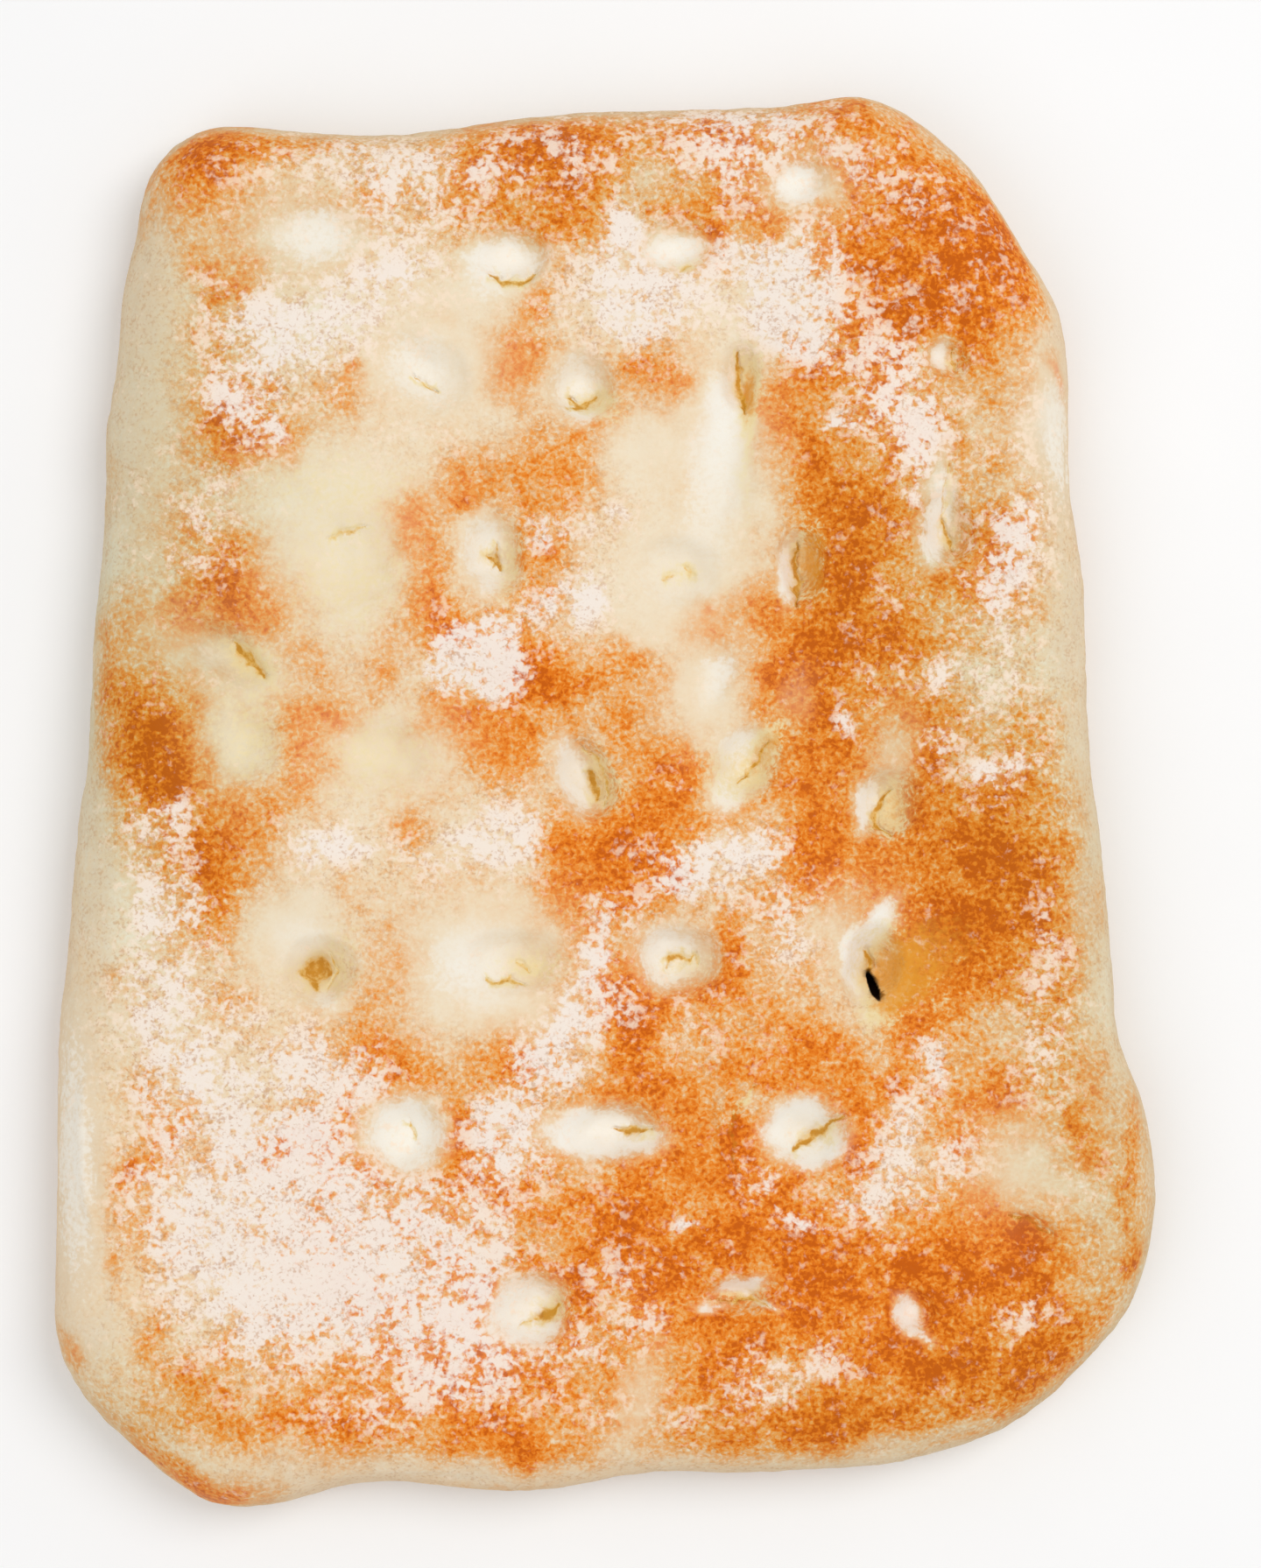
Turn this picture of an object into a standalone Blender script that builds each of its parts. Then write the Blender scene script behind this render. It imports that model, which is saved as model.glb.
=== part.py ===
"""Schiacciata: one flat loaf of hearth bread, pressed all over with the fingertips before baking.

The loaf lies on its flat underside. X runs across it, Y along it and Z up, and the origin is at the
middle of the underside. Sizes are in millimetres until a mesh is made, which is in metres.
"""

import math

import bmesh
import bpy
import numpy as np
from mathutils import Matrix, Vector, noise

MM = 0.001

# The plain slab, before the dough is pressed and rises in the oven
SLAB_HEIGHT = 25.0
SHOULDER_RADIUS = 15.0
SHOULDER_STEPS = 7
FOOT_RADIUS = 6.0
FOOT_STEPS = 3

# Its plan: the four corners, anticlockwise from the near left, as x, y and rounding radius
CORNERS = (
    (-128.0, -160.5, 40.0),
    (122.0, -151.0, 60.0),
    (103.0, 161.0, 58.0),
    (-109.5, 152.5, 25.0),
)
OUTLINE_STEP = 5.0
ARC_STEPS = 12

# Where the sides swell out, or draw in if the third number is negative: x, y, reach, half length
SIDE_SWELLS = (
    (-119.0, -12.0, 1.6, 12.0),
    (-122.0, -56.0, 3.0, 26.0),
    (-116.0, 35.0, 1.2, 16.0),
    (-114.5, 84.0, 1.6, 8.0),
    (-109.0, 132.0, -2.8, 8.0),
    (-88.0, 154.0, 1.0, 10.0),
    (-48.0, 154.0, -2.4, 15.0),
    (0.0, 157.0, 1.2, 22.0),
    (60.0, 159.0, 3.6, 9.0),
    (98.0, 130.0, -4.5, 14.0),
    (107.0, 72.0, -2.0, 12.0),
    (111.0, 14.0, -1.6, 14.0),
    (118.0, -54.0, -1.8, 8.0),
    (121.0, -88.0, 7.0, 24.0),
    (116.0, -118.0, 1.5, 10.0),
    (74.0, -150.0, -1.6, 10.0),
    (12.0, -154.5, -1.6, 12.0),
    (-16.0, -156.0, 2.2, 14.0),
    (-52.0, -157.0, -1.8, 10.0),
    (-82.0, -159.0, 3.6, 12.0),
    (-112.0, -148.0, -3.6, 14.0),
)

# Fingertip dimples: x, y, half length, half width, turn in degrees, depth,
# then the length and turn of the crease that the fingertip left in its floor
DIMPLES = (
    (-66.0, 128.0, 11.0, 8.0, 0, 3.0, 0.0, 0),
    (-21.0, 123.0, 9.5, 7.0, 0, 7.0, 8.0, 0),
    (16.5, 125.0, 9.5, 7.0, 0, 6.0, 3.0, 30),
    (44.0, 139.5, 7.5, 6.0, 0, 4.0, 0.0, 0),
    (-41.0, 96.0, 12.0, 9.0, -35, 6.5, 8.0, -38),
    (-5.5, 92.5, 9.0, 8.5, 0, 9.5, 6.0, 35),
    (30.5, 95.0, 10.0, 4.5, 95, 7.0, 14.0, -70),
    (78.0, 99.0, 5.5, 5.0, 80, 5.0, 4.0, 75),
    (26.0, 74.0, 20.0, 9.0, 82, 4.0, 0.0, 0),
    (-57.0, 52.0, 14.0, 13.0, 0, 5.5, 8.0, 15),
    (-25.5, 54.5, 10.5, 8.0, 90, 9.5, 6.0, -70),
    (16.0, 50.5, 11.0, 9.0, 0, 6.5, 4.0, 10),
    (44.5, 52.0, 9.5, 6.0, 90, 9.0, 14.0, -86),
    (77.5, 60.0, 10.0, 6.5, 90, 9.0, 8.0, -80),
    (-86.0, 32.0, 13.0, 6.5, -35, 6.0, 12.0, -35),
    (23.5, 27.0, 10.0, 6.5, 75, 4.0, 0.0, 0),
    (-81.0, 11.5, 10.0, 9.0, 90, 5.5, 8.0, 85),
    (-51.0, 9.0, 13.0, 10.0, 0, 5.0, 0.0, 0),
    (-4.5, 3.5, 11.0, 7.0, 110, 10.0, 8.0, -75),
    (32.0, 6.5, 10.0, 8.0, 60, 8.5, 10.0, 42),
    (64.0, -2.5, 9.5, 8.0, 75, 8.5, 9.0, -70),
    (-65.0, -40.0, 9.5, 8.5, 0, 10.0, 5.0, 80),
    (-21.0, -38.5, 13.0, 8.0, 10, 7.0, 7.0, -25),
    (16.5, -38.0, 10.5, 9.0, 0, 9.5, 9.0, 5),
    (60.5, -39.0, 12.0, 8.0, 75, 12.0, 10.0, -75),
    (46.0, -77.0, 9.5, 8.5, 0, 9.5, 14.0, 30),
    (-45.0, -77.5, 10.0, 9.5, 0, 8.5, 4.0, 60),
    (1.5, -76.5, 13.0, 7.5, 5, 9.0, 9.0, -5),
    (-16.0, -116.5, 10.0, 9.0, 20, 9.5, 8.0, 5),
    (30.0, -113.0, 11.0, 4.5, 10, 7.0, 14.0, 12),
    (69.0, -117.0, 6.0, 5.0, 110, 6.0, 0.0, 0),
    (95.5, -100.0, 6.5, 4.0, -15, 2.5, 0.0, 0),
)
FUNNEL_SHARE = 0.30
FUNNEL_SPREAD = 1.9
CREASE_DEPTH = 2.2
CREASE_HALF_WIDTH = 2.0

# The gap torn open in the floor of the deepest dimple: x, y, half length, half width, turn, depth
TEAR = (61.0, -43.5, 4.2, 1.9, -73, 5.0)

# Folds in the crust: middle x, y, half length, turn, bow, half width, height
FOLDS = (
    (29.2, -76.0, 13.0, 90, 3.0, 1.8, 1.1),
    (-84.5, 75.0, 9.0, -32, -1.0, 2.0, 1.0),
    (97.0, -96.5, 7.0, -30, 2.5, 1.8, 1.4),
    (102.0, 95.5, 6.0, -62, 2.0, 1.8, 1.2),
    (29.0, -118.5, 12.0, 0, 4.5, 1.8, 1.0),
    (-109.5, -110.0, 11.0, 78, 0.0, 1.6, 0.8),
    (-115.5, -82.0, 22.0, 92, 3.0, 2.2, 0.9),
)

# Blisters and pillows that rose between the dimples: x, y, half length, half width, turn, height
BLISTERS = (
    (79.0, 124.0, 24.0, 20.0, -40, 3.0),
    (56.0, 62.0, 32.0, 10.0, 88, 2.6),
    (-101.0, 9.0, 17.0, 11.0, 80, 2.6),
    (-91.0, 141.0, 16.0, 9.0, 10, 2.0),
    (-80.0, 80.0, 15.0, 11.0, -30, 2.2),
    (84.0, -15.0, 18.0, 16.0, 30, 2.8),
    (88.0, -112.0, 26.0, 20.0, 35, 2.6),
    (20.0, -98.0, 24.0, 9.0, 0, 2.0),
    (-19.0, 74.0, 16.0, 9.0, 20, 1.8),
    (-62.0, -139.0, 26.0, 9.0, -5, 1.8),
    (56.0, 152.0, 13.0, 9.0, 10, 2.4),
    (-82.0, 43.0, 13.0, 8.0, -10, 1.8),
    (-72.0, -12.0, 12.0, 22.0, 0, 1.6),
    (8.0, -18.0, 20.0, 10.0, 35, 1.8),
    (-10.0, 30.0, 24.0, 9.0, -5, 1.8),
    (104.0, -82.0, 14.0, 22.0, 0, 1.8),
    (38.0, -135.0, 30.0, 9.0, 0, 1.6),
    (-100.0, -60.0, 11.0, 34.0, 0, 1.4),
    (98.0, 96.0, 9.0, 9.0, 0, 2.0),
)

# Uneven dough between them: wavelength and height of each scale of unevenness
WAVES = ((46.0, 1.5), (19.0, 0.7), (9.0, 0.25))
SIDE_WAVE_REACH = 0.7

# Heights over which the side gives way to the crust that is pressed and blistered
PRESSED_FROM, PRESSED_TO = 5.0, 17.0

VOXEL = 2.0
FLOOR_SNAP = 0.35
MOST_TRIANGLES = 9600

CRUST_COLOUR = (0.80, 0.47, 0.20, 1.0)
CRUST_ROUGHNESS = 0.85


def rounded_corner(before, corner, after, radius):
    """Points of the arc that rounds off a corner between its two neighbours."""
    to_before = (before - corner).normalized()
    to_after = (after - corner).normalized()
    half_angle = to_before.angle(to_after) / 2
    centre = corner + (to_before + to_after).normalized() * radius / math.sin(half_angle)
    reach = radius / math.tan(half_angle)
    start = corner + to_before * reach - centre
    sweep = math.pi - 2 * half_angle
    turns = (sweep * step / ARC_STEPS for step in range(ARC_STEPS + 1))
    return [centre + Matrix.Rotation(turn, 2) @ start for turn in turns]


def plain_outline():
    """The plan of the loaf as straight sides between rounded corners, anticlockwise."""
    corners = [Vector(corner[:2]) for corner in CORNERS]
    points = []
    for index, (corner, (_, _, radius)) in enumerate(zip(corners, CORNERS)):
        after = corners[(index + 1) % len(corners)]
        arc = rounded_corner(corners[index - 1], corner, after, radius)
        if points:
            points += straight_run(points[-1], arc[0])
        points += arc
    return points + straight_run(points[-1], points[0])


def straight_run(start, end):
    """Points evenly spaced between two others, leaving both out."""
    pieces = max(1, round((end - start).length / OUTLINE_STEP))
    return [start.lerp(end, step / pieces) for step in range(1, pieces)]


def loaf_outline():
    """The plan with the swells of its sides, as Vectors in millimetres."""
    plain = plain_outline()
    outline = []
    for index, point in enumerate(plain):
        along = plain[(index + 1) % len(plain)] - plain[index - 1]
        outward = Vector((along.y, -along.x)).normalized()
        reach = sum(
            height * math.exp(-((point - Vector((x, y))).length_squared) / (2 * half * half))
            for x, y, height, half in SIDE_SWELLS
        )
        outline.append(point + outward * reach)
    return outline


def rim_edges(bm, height):
    """The edges of the slab that lie all round at one height."""
    level = height * MM
    return [e for e in bm.edges if all(abs(v.co.z - level) < 1e-6 for v in e.verts)]


def slab_object(collection):
    """The outline raised to a slab, with a broad round shoulder and a smaller round foot."""
    outline = loaf_outline()
    bm = bmesh.new()
    floor = bmesh.ops.create_circle(bm, cap_ends=True, radius=MM, segments=len(outline))["verts"]
    floor.sort(key=lambda v: math.atan2(v.co.y, v.co.x))
    for vertex, place in zip(floor, sorted(outline, key=lambda p: math.atan2(p.y, p.x))):
        vertex.co = (place.x * MM, place.y * MM, 0.0)
    raised = bmesh.ops.extrude_face_region(bm, geom=bm.faces[:])
    top = [v for v in raised["geom"] if isinstance(v, bmesh.types.BMVert)]
    bmesh.ops.translate(bm, vec=(0.0, 0.0, SLAB_HEIGHT * MM), verts=top)
    bmesh.ops.recalc_face_normals(bm, faces=bm.faces)
    for height, radius, steps in (
        (SLAB_HEIGHT, SHOULDER_RADIUS, SHOULDER_STEPS),
        (0.0, FOOT_RADIUS, FOOT_STEPS),
    ):
        bmesh.ops.bevel(
            bm,
            geom=rim_edges(bm, height),
            offset=radius * MM,
            segments=steps,
            profile=0.5,
            affect="EDGES",
        )
    mesh = bpy.data.meshes.new("schiacciata")
    bm.to_mesh(mesh)
    bm.free()
    slab = bpy.data.objects.new("schiacciata", mesh)
    collection.objects.link(slab)
    return slab


def with_modifier(obj, kind, **settings):
    """Adds one modifier, keeps its result as the object's mesh, and removes it."""
    modifier = obj.modifiers.new(kind.title(), kind)
    for name, value in settings.items():
        setattr(modifier, name, value)
    graph = bpy.context.evaluated_depsgraph_get()
    shaped = bpy.data.meshes.new_from_object(obj.evaluated_get(graph), depsgraph=graph)
    obj.modifiers.clear()
    plain, obj.data = obj.data, shaped
    bpy.data.meshes.remove(plain)
    shaped.name = obj.name


def smooth_step(value, low, high):
    share = np.clip((value - low) / (high - low), 0.0, 1.0)
    return share * share * (3.0 - 2.0 * share)


def turned_offsets(points, x, y, turn):
    """Offsets of the points from (x, y), along and across a direction turned from +X."""
    angle = math.radians(turn)
    dx, dy = points[:, 0] - x, points[:, 1] - y
    along = dx * math.cos(angle) + dy * math.sin(angle)
    across = dy * math.cos(angle) - dx * math.sin(angle)
    return along, across


def dimple_depth(points, dimple):
    """How far one fingertip pressed the crust down, with the crease in the pit's floor."""
    x, y, half_length, half_width, turn, depth, crease_length, crease_turn = dimple
    along, across = turned_offsets(points, x, y, turn)
    spread = (along / half_length) ** 2 + (across / half_width) ** 2
    pit = np.clip(1.0 - spread, 0.0, 1.0) ** 1.5
    funnel = np.exp(-spread / FUNNEL_SPREAD**2)
    pressed = depth * ((1.0 - FUNNEL_SHARE) * pit + FUNNEL_SHARE * funnel)
    if crease_length:
        along, across = turned_offsets(points, x, y, crease_turn)
        ends = smooth_step(np.abs(along), crease_length / 2, 0.0)
        walls = np.clip(1.0 - np.abs(across) / CREASE_HALF_WIDTH, 0.0, 1.0)
        pressed += CREASE_DEPTH * ends * walls
    return pressed


def blister_height(points, blister):
    x, y, half_length, half_width, turn, height = blister
    along, across = turned_offsets(points, x, y, turn)
    return height * np.exp(-((along / half_length) ** 2) - (across / half_width) ** 2)


def fold_height(points, fold):
    """A fold that bows to one side and fades out at its two ends."""
    x, y, half_length, turn, bow, half_width, height = fold
    along, across = turned_offsets(points, x, y, turn)
    share = along / half_length
    across = across - bow * (1.0 - share**2)
    ends = smooth_step(np.abs(share), 1.0, 0.5)
    return height * ends * np.exp(-((across / half_width) ** 2))


def tear_depth(points):
    """The lens-shaped gap, steeper than a fingertip's pit."""
    x, y, half_length, half_width, turn, depth = TEAR
    along, across = turned_offsets(points, x, y, turn)
    spread = (along / half_length) ** 2 + (across / half_width) ** 2
    return depth * smooth_step(spread, 1.3, 0.4)


def uneven(points, wavelength):
    """Smooth unevenness from -1 to 1, the same each time."""
    return np.array([noise.noise(Vector(p) / wavelength) for p in points])


def press_and_bake(obj):
    """Moves the slab's vertices as fingertips and the oven do."""
    mesh = obj.data
    flat = np.empty(len(mesh.vertices) * 3, np.float32)
    mesh.vertices.foreach_get("co", flat)
    points = flat.reshape(-1, 3).astype(float) / MM
    crust = smooth_step(points[:, 2], PRESSED_FROM, PRESSED_TO)
    side = smooth_step(points[:, 2], 0.0, PRESSED_FROM) * (1.0 - crust)

    lift = sum(height * uneven(points, wavelength) for wavelength, height in WAVES)
    for blister in BLISTERS:
        lift += blister_height(points, blister)
    for fold in FOLDS:
        lift += fold_height(points, fold)
    for dimple in DIMPLES:
        lift -= dimple_depth(points, dimple)
    lift -= tear_depth(points)
    outward = points[:, :2] / np.linalg.norm(points[:, :2], axis=1, keepdims=True)
    reach = SIDE_WAVE_REACH * uneven(points, WAVES[1][0]) * side

    points[:, 2] += lift * crust
    points[:, :2] += outward * reach[:, None]
    points[points[:, 2] < FLOOR_SNAP, 2] = 0.0
    mesh.vertices.foreach_set("co", (points * MM).astype(np.float32).ravel())
    mesh.update()


def centre_on_floor(obj):
    """Puts the middle of the loaf's box over the origin and its underside at height 0."""
    corners = np.array([v.co for v in obj.data.vertices])
    low, high = corners.min(axis=0), corners.max(axis=0)
    middle = (low + high) / 2
    obj.data.transform(Matrix.Translation((-middle[0], -middle[1], -low[2])))


def crust_material():
    material = bpy.data.materials.new("baked_crust")
    material.use_nodes = True
    shader = material.node_tree.nodes["Principled BSDF"]
    shader.inputs["Base Color"].default_value = CRUST_COLOUR
    shader.inputs["Roughness"].default_value = CRUST_ROUGHNESS
    shader.inputs["Metallic"].default_value = 0.0
    return material


def main():
    for obj in list(bpy.data.objects):
        bpy.data.objects.remove(obj, do_unlink=True)
    collection = bpy.data.collections.new("schiacciata")
    bpy.context.scene.collection.children.link(collection)

    loaf = slab_object(collection)
    with_modifier(loaf, "REMESH", mode="VOXEL", voxel_size=VOXEL * MM)
    press_and_bake(loaf)
    triangles = 2 * len(loaf.data.polygons)
    with_modifier(loaf, "DECIMATE", ratio=MOST_TRIANGLES / triangles, use_collapse_triangulate=True)
    centre_on_floor(loaf)
    loaf.data.shade_smooth()
    loaf.data.materials.append(crust_material())


main()
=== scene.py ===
import math

import bmesh
import bpy
import numpy as np
from mathutils import Matrix, Vector, noise


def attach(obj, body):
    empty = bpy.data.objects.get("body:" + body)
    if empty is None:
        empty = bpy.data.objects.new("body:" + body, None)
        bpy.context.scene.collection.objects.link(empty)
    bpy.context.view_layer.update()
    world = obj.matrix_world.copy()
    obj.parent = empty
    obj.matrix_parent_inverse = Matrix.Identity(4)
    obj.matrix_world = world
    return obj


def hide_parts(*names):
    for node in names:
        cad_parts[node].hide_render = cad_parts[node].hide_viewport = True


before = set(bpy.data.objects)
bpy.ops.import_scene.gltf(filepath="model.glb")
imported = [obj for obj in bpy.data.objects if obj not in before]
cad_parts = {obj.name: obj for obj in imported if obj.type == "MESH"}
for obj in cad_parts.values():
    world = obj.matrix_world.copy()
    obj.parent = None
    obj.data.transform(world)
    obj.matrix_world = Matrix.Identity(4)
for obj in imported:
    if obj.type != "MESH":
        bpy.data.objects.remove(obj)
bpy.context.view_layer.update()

MM = 0.001

# The loaf's form, in millimetres, as its solid has it

SLAB_HEIGHT = 25.0
SHOULDER_RADIUS, SHOULDER_STEPS = 15.0, 9
FOOT_RADIUS, FOOT_STEPS = 6.0, 4
OUTLINE_STEP = 2.5
ARC_STEPS = 24

# Corners: x, y, rounding radius
CORNERS = (
    (-128.0, -160.5, 40.0),
    (122.0, -151.0, 60.0),
    (103.0, 161.0, 58.0),
    (-109.5, 152.5, 25.0),
)

# Swells of the sides: x, y, reach, half length
SIDE_SWELLS = (
    (-119, -12, 1.6, 12), (-122, -56, 3, 26), (-116, 35, 1.2, 16), (-114.5, 84, 1.6, 8),
    (-109, 132, -2.8, 8), (-88, 154, 1, 10), (-48, 154, -2.4, 15), (0, 157, 1.2, 22), (60, 159, 3.6, 9),
    (98, 130, -4.5, 14), (107, 72, -2, 12), (111, 14, -1.6, 14), (118, -54, -1.8, 8), (121, -88, 7, 24),
    (116, -118, 1.5, 10), (74, -150, -1.6, 10), (12, -154.5, -1.6, 12), (-16, -156, 2.2, 14),
    (-52, -157, -1.8, 10), (-82, -159, 3.6, 12), (-112, -148, -3.6, 14),
)

# Fingertip dimples: x, y, half length, half width, turn if there is one, depth
DIMPLES = (
    (-66, 128, 11, 8, 3), (-21, 123, 9.5, 7, 7), (16.5, 125, 9.5, 7, 6), (44, 139.5, 7.5, 6, 4),
    (-41, 96, 12, 9, -35, 6.5), (-5.5, 92.5, 9, 8.5, 9.5), (30.5, 95, 10, 4.5, 95, 7),
    (78, 99, 5.5, 5, 80, 5), (26, 74, 20, 9, 82, 4), (-57, 52, 14, 13, 5.5),
    (-25.5, 54.5, 10.5, 8, 90, 9.5), (16, 50.5, 11, 9, 6.5), (44.5, 52, 9.5, 6, 90, 9),
    (77.5, 60, 10, 6.5, 90, 9), (-86, 32, 13, 6.5, -35, 6), (23.5, 27, 10, 6.5, 75, 4),
    (-81, 11.5, 10, 9, 90, 5.5), (-51, 9, 13, 10, 5), (-4.5, 3.5, 11, 7, 110, 10),
    (32, 6.5, 10, 8, 60, 8.5), (64, -2.5, 9.5, 8, 75, 8.5), (-65, -40, 9.5, 8.5, 10),
    (-21, -38.5, 13, 8, 10, 7), (16.5, -38, 10.5, 9, 9.5), (60.5, -39.5, 11, 7, 75, 9.5),
    (46, -77, 9.5, 8.5, 9.5), (-45, -77.5, 10, 9.5, 8.5), (1.5, -76.5, 13, 7.5, 5, 9),
    (-16, -116.5, 10, 9, 20, 9.5), (30, -113, 11, 4.5, 10, 7), (69, -117, 6, 5, 110, 6),
    (95.5, -100, 6.5, 4, -15, 2.5), (71, -36, 16, 12, 55, 3.5),
)
PIT_STEEPNESS = 1.5
FUNNEL_SHARE, FUNNEL_SPREAD = 0.30, 1.9

# Creases that fingertips left in the dough: half width, depth, then the points that each runs by
CREASES = (
    (0.75, 0.9, (-26.5, 118.8), (-24, 117.2), (-21, 116.6), (-18.5, 117.2), (-16, 118.8)),
    (0.40, 0.4, (17.2, 119.2), (19.2, 120.2)),
    (0.35, 0.5, (-44.5, 96.5), (-41.5, 94), (-38, 92)),
    (0.95, 1.0, (-8, 90.6), (-5.8, 88.4), (-2.4, 91.2)),
    (0.30, 0.4, (-8.4, 86.6), (-8, 90.6)),
    (0.60, 0.9, (30, 101), (30.6, 94), (31.6, 87)),
    (0.45, 0.6, (79, 101.5), (79.4, 96)),
    (0.35, 0.4, (81, 100), (83, 97)),
    (0.45, 0.4, (-63.5, 58.3), (-59, 60), (-54.5, 60.6)),
    (0.65, 0.8, (-27, 55), (-25, 53.6), (-24, 51.5)),
    (0.50, 0.6, (-25, 57.5), (-25, 53.6), (-26, 51.8)),
    (0.45, 0.4, (13.8, 49.2), (15.4, 50)),
    (0.45, 0.4, (18, 51.8), (20.4, 50.4)),
    (0.65, 1.2, (44, 57.5), (43, 53.5), (43.7, 49), (43.4, 43)),
    (0.55, 0.8, (76.6, 63), (77.4, 60), (79.2, 55.5)),
    (0.30, 0.3, (77.8, 75), (77.2, 68), (76.6, 63)),
    (0.80, 0.9, (-84.5, 34.5), (-81, 31), (-77.6, 26.6)),
    (0.85, 1.2, (-3.6, 5.6), (-2.6, 2.5), (-1.6, -0.8)),
    (0.35, 0.5, (-6, 11), (-1.6, 8.4), (0.6, 3.5), (0, -2.5)),
    (0.45, 0.7, (30, 2.6), (32, 5), (34.6, 7.6), (36.8, 11.5)),
    (0.55, 0.8, (64.4, 1), (61.2, -3.6), (61.6, -7), (64.8, -9.8)),
    (0.40, 0.4, (-62.4, -36), (-61, -40), (-63, -44)),
    (0.45, 0.6, (-27.2, -42.4), (-24, -43.2), (-21.4, -42), (-18.8, -43.6)),
    (0.35, 0.4, (-20.4, -37.6), (-17, -40.6)),
    (0.55, 0.7, (13.4, -39.4), (14.4, -37.2), (17, -36.8), (19, -37.6), (20.6, -36.4)),
    (0.40, 0.5, (20.6, -36.4), (21.4, -38.8)),
    (0.60, 1.1, (59.4, -35.2), (60.1, -38), (60.6, -41)),
    (0.85, 1.1, (42.8, -80.6), (47, -77.6), (53.2, -73)),
    (0.30, 0.3, (-45, -74), (-43.4, -76), (-43.2, -78.6)),
    (0.60, 0.9, (2.4, -76), (5, -76.6), (7, -75.6), (10.8, -76.3)),
    (0.95, 1.1, (-14.6, -118.6), (-12, -117.6), (-10.8, -115.8)),
    (0.40, 0.5, (-19.6, -120), (-16.6, -119.2), (-14.6, -118.6)),
    (0.55, 0.6, (22.8, -114), (29, -114.3), (33, -113.6), (37.4, -116.4)),
    (0.60, 0.6, (90.4, -95), (95, -95.9), (100.2, -99.6)),
    (0.55, 0.3, (33.7, -65.2), (30, -70), (28.7, -76.2), (29.7, -86.2)),
)
# Crease widths, as shares of the half width: at the ends, added further in, and the floor
CREASE_END_WIDTH, CREASE_SWELL, CREASE_FLOOR = 0.45, 0.65, 0.2
# The share of its length over which a crease widens, how unevenly it does so, and over how far
CREASE_TAPER, CREASE_WIDENING, CREASE_WOBBLE = 0.45, 0.8, 1.9
# How many times wider than its row a crease is pressed, coloured with painted glow and shade, and fringed
# with painted warm shade
PRESSED_SPREAD, LINE_SPREAD, FRINGE_SPREAD = 2.0, 1.6, 3.2
# How near to a crease the faces are cut finer, and by how many cuts
CREASE_REACH, CREASE_CUTS = 1.6, 3

# The open pucker where one fingertip reached the crumb: x, y, half length, half width, turn, depth
PUCKER = (-65.5, -39.8, 3.7, 3.0, 70, 1.2)

# The gap torn open in the floor of the deepest dimple: x, y, half length, half width, turn, depth
TEAR = (60.9, -43.6, 3.5, 1.15, -73, 6.0)
# Where the walls of both start and end, and how near to the gap the faces are cut finer
TEAR_WALL, TEAR_REACH = (1.5, 0.3), 3.0

# Folds in the crust: middle x, y, half length, turn, bow, half width, height
FOLDS = (
    (29.2, -76, 13, 90, 3, 1.2, 1.1), (-84.5, 75, 9, -32, -1, 1.3, 0.9), (97, -96.5, 7, -30, 2.5, 1.2, 1.3),
    (102, 95.5, 6, -62, 2, 1.2, 1.2), (29, -118.5, 12, 0, 4.5, 1.1, 0.9),
    (-109.5, -110, 11, 78, 0, 0.9, 0.8), (-115.5, -82, 22, 92, 3, 1.4, 0.9),
)

# Blisters and pillows: x, y, half length, half width, turn if there is one, height
BLISTERS = (
    (79, 124, 24, 20, -40, 3), (56, 62, 32, 10, 88, 2.6), (-101, 9, 17, 11, 80, 2.6),
    (-91, 141, 16, 9, 10, 2), (-80, 80, 15, 11, -30, 2.2), (84, -15, 18, 16, 30, 2.8),
    (88, -112, 26, 20, 35, 2.6), (20, -98, 24, 9, 2), (-19, 74, 16, 9, 20, 1.8),
    (-62, -139, 26, 9, -5, 1.8), (56, 152, 13, 9, 10, 2.4), (-82, 43, 13, 8, -10, 1.8),
    (-72, -12, 12, 22, 1.6), (8, -18, 20, 10, 35, 1.8), (-10, 30, 24, 9, -5, 1.8), (104, -82, 14, 22, 1.8),
    (38, -135, 30, 9, 1.6), (-100, -60, 11, 34, 1.4), (98, 96, 9, 9, 2),
)

FOLD_FADE_FROM = 0.5
PIT_LUMPS, LUMPY_BELOW = 0.5, 6.0

# Unevenness: wavelength and reach, in millimetres, or share of the reach named beside it
WAVES = ((46.0, 1.5), (19.0, 0.7), (9.0, 0.25))
CRUST_WAVES = ((5.0, 0.16), (2.7, 0.08))
PIT_LUMP_WAVES = ((4.2, 1.0), (2.3, 0.5))
SIDE_WAVE_REACH = 0.7
SIDE_PORE, SIDE_PORE_REACH = 3.5, 0.2
# Wrinkles round the flank: how much they are drawn out along it, wavelength, share of their reach
WRINKLES = ((0.18, 2.4, 1.0), (0.3, 1.3, 0.6))
FLANK_WRINKLES = 0.45
# Heights between which each starts or ends
PORES_START, WRINKLES_START, WRINKLES_END = (1.0, 4.0), (1.0, 5.0), (24.5, 18.0)
PRESSED_FROM, PRESSED_TO = 5.0, 17.0

# Steps of sideways drift: wavelength, reach
SOFT_DRIFT = ((11.0, 1.5), (4.5, 0.6))
JAGGED_DRIFT = ((3.2, 0.9), (1.3, 0.35))
WANDERING_DRIFT = ((13.0, 4.0), (4.5, 2.2))
NEARBY_DRIFT = ((6.0, 1.6), (2.4, 1.0))
TINT_DRIFT = ((30.0, 14.0),)
TORN_DRIFT = ((8.0, 0.5),)
DRIFT_SEED = 68

# The mesh: lengths in millimetres
VOXEL = 1.05
FLOOR_SNAP, BASE_BELOW = 0.35, 0.4
LEVEL_TOLERANCE = 0.001
MOST_TRIANGLES = 192000

# The patches below: x, y, half length, half width, turn if there is one, strength

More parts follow.
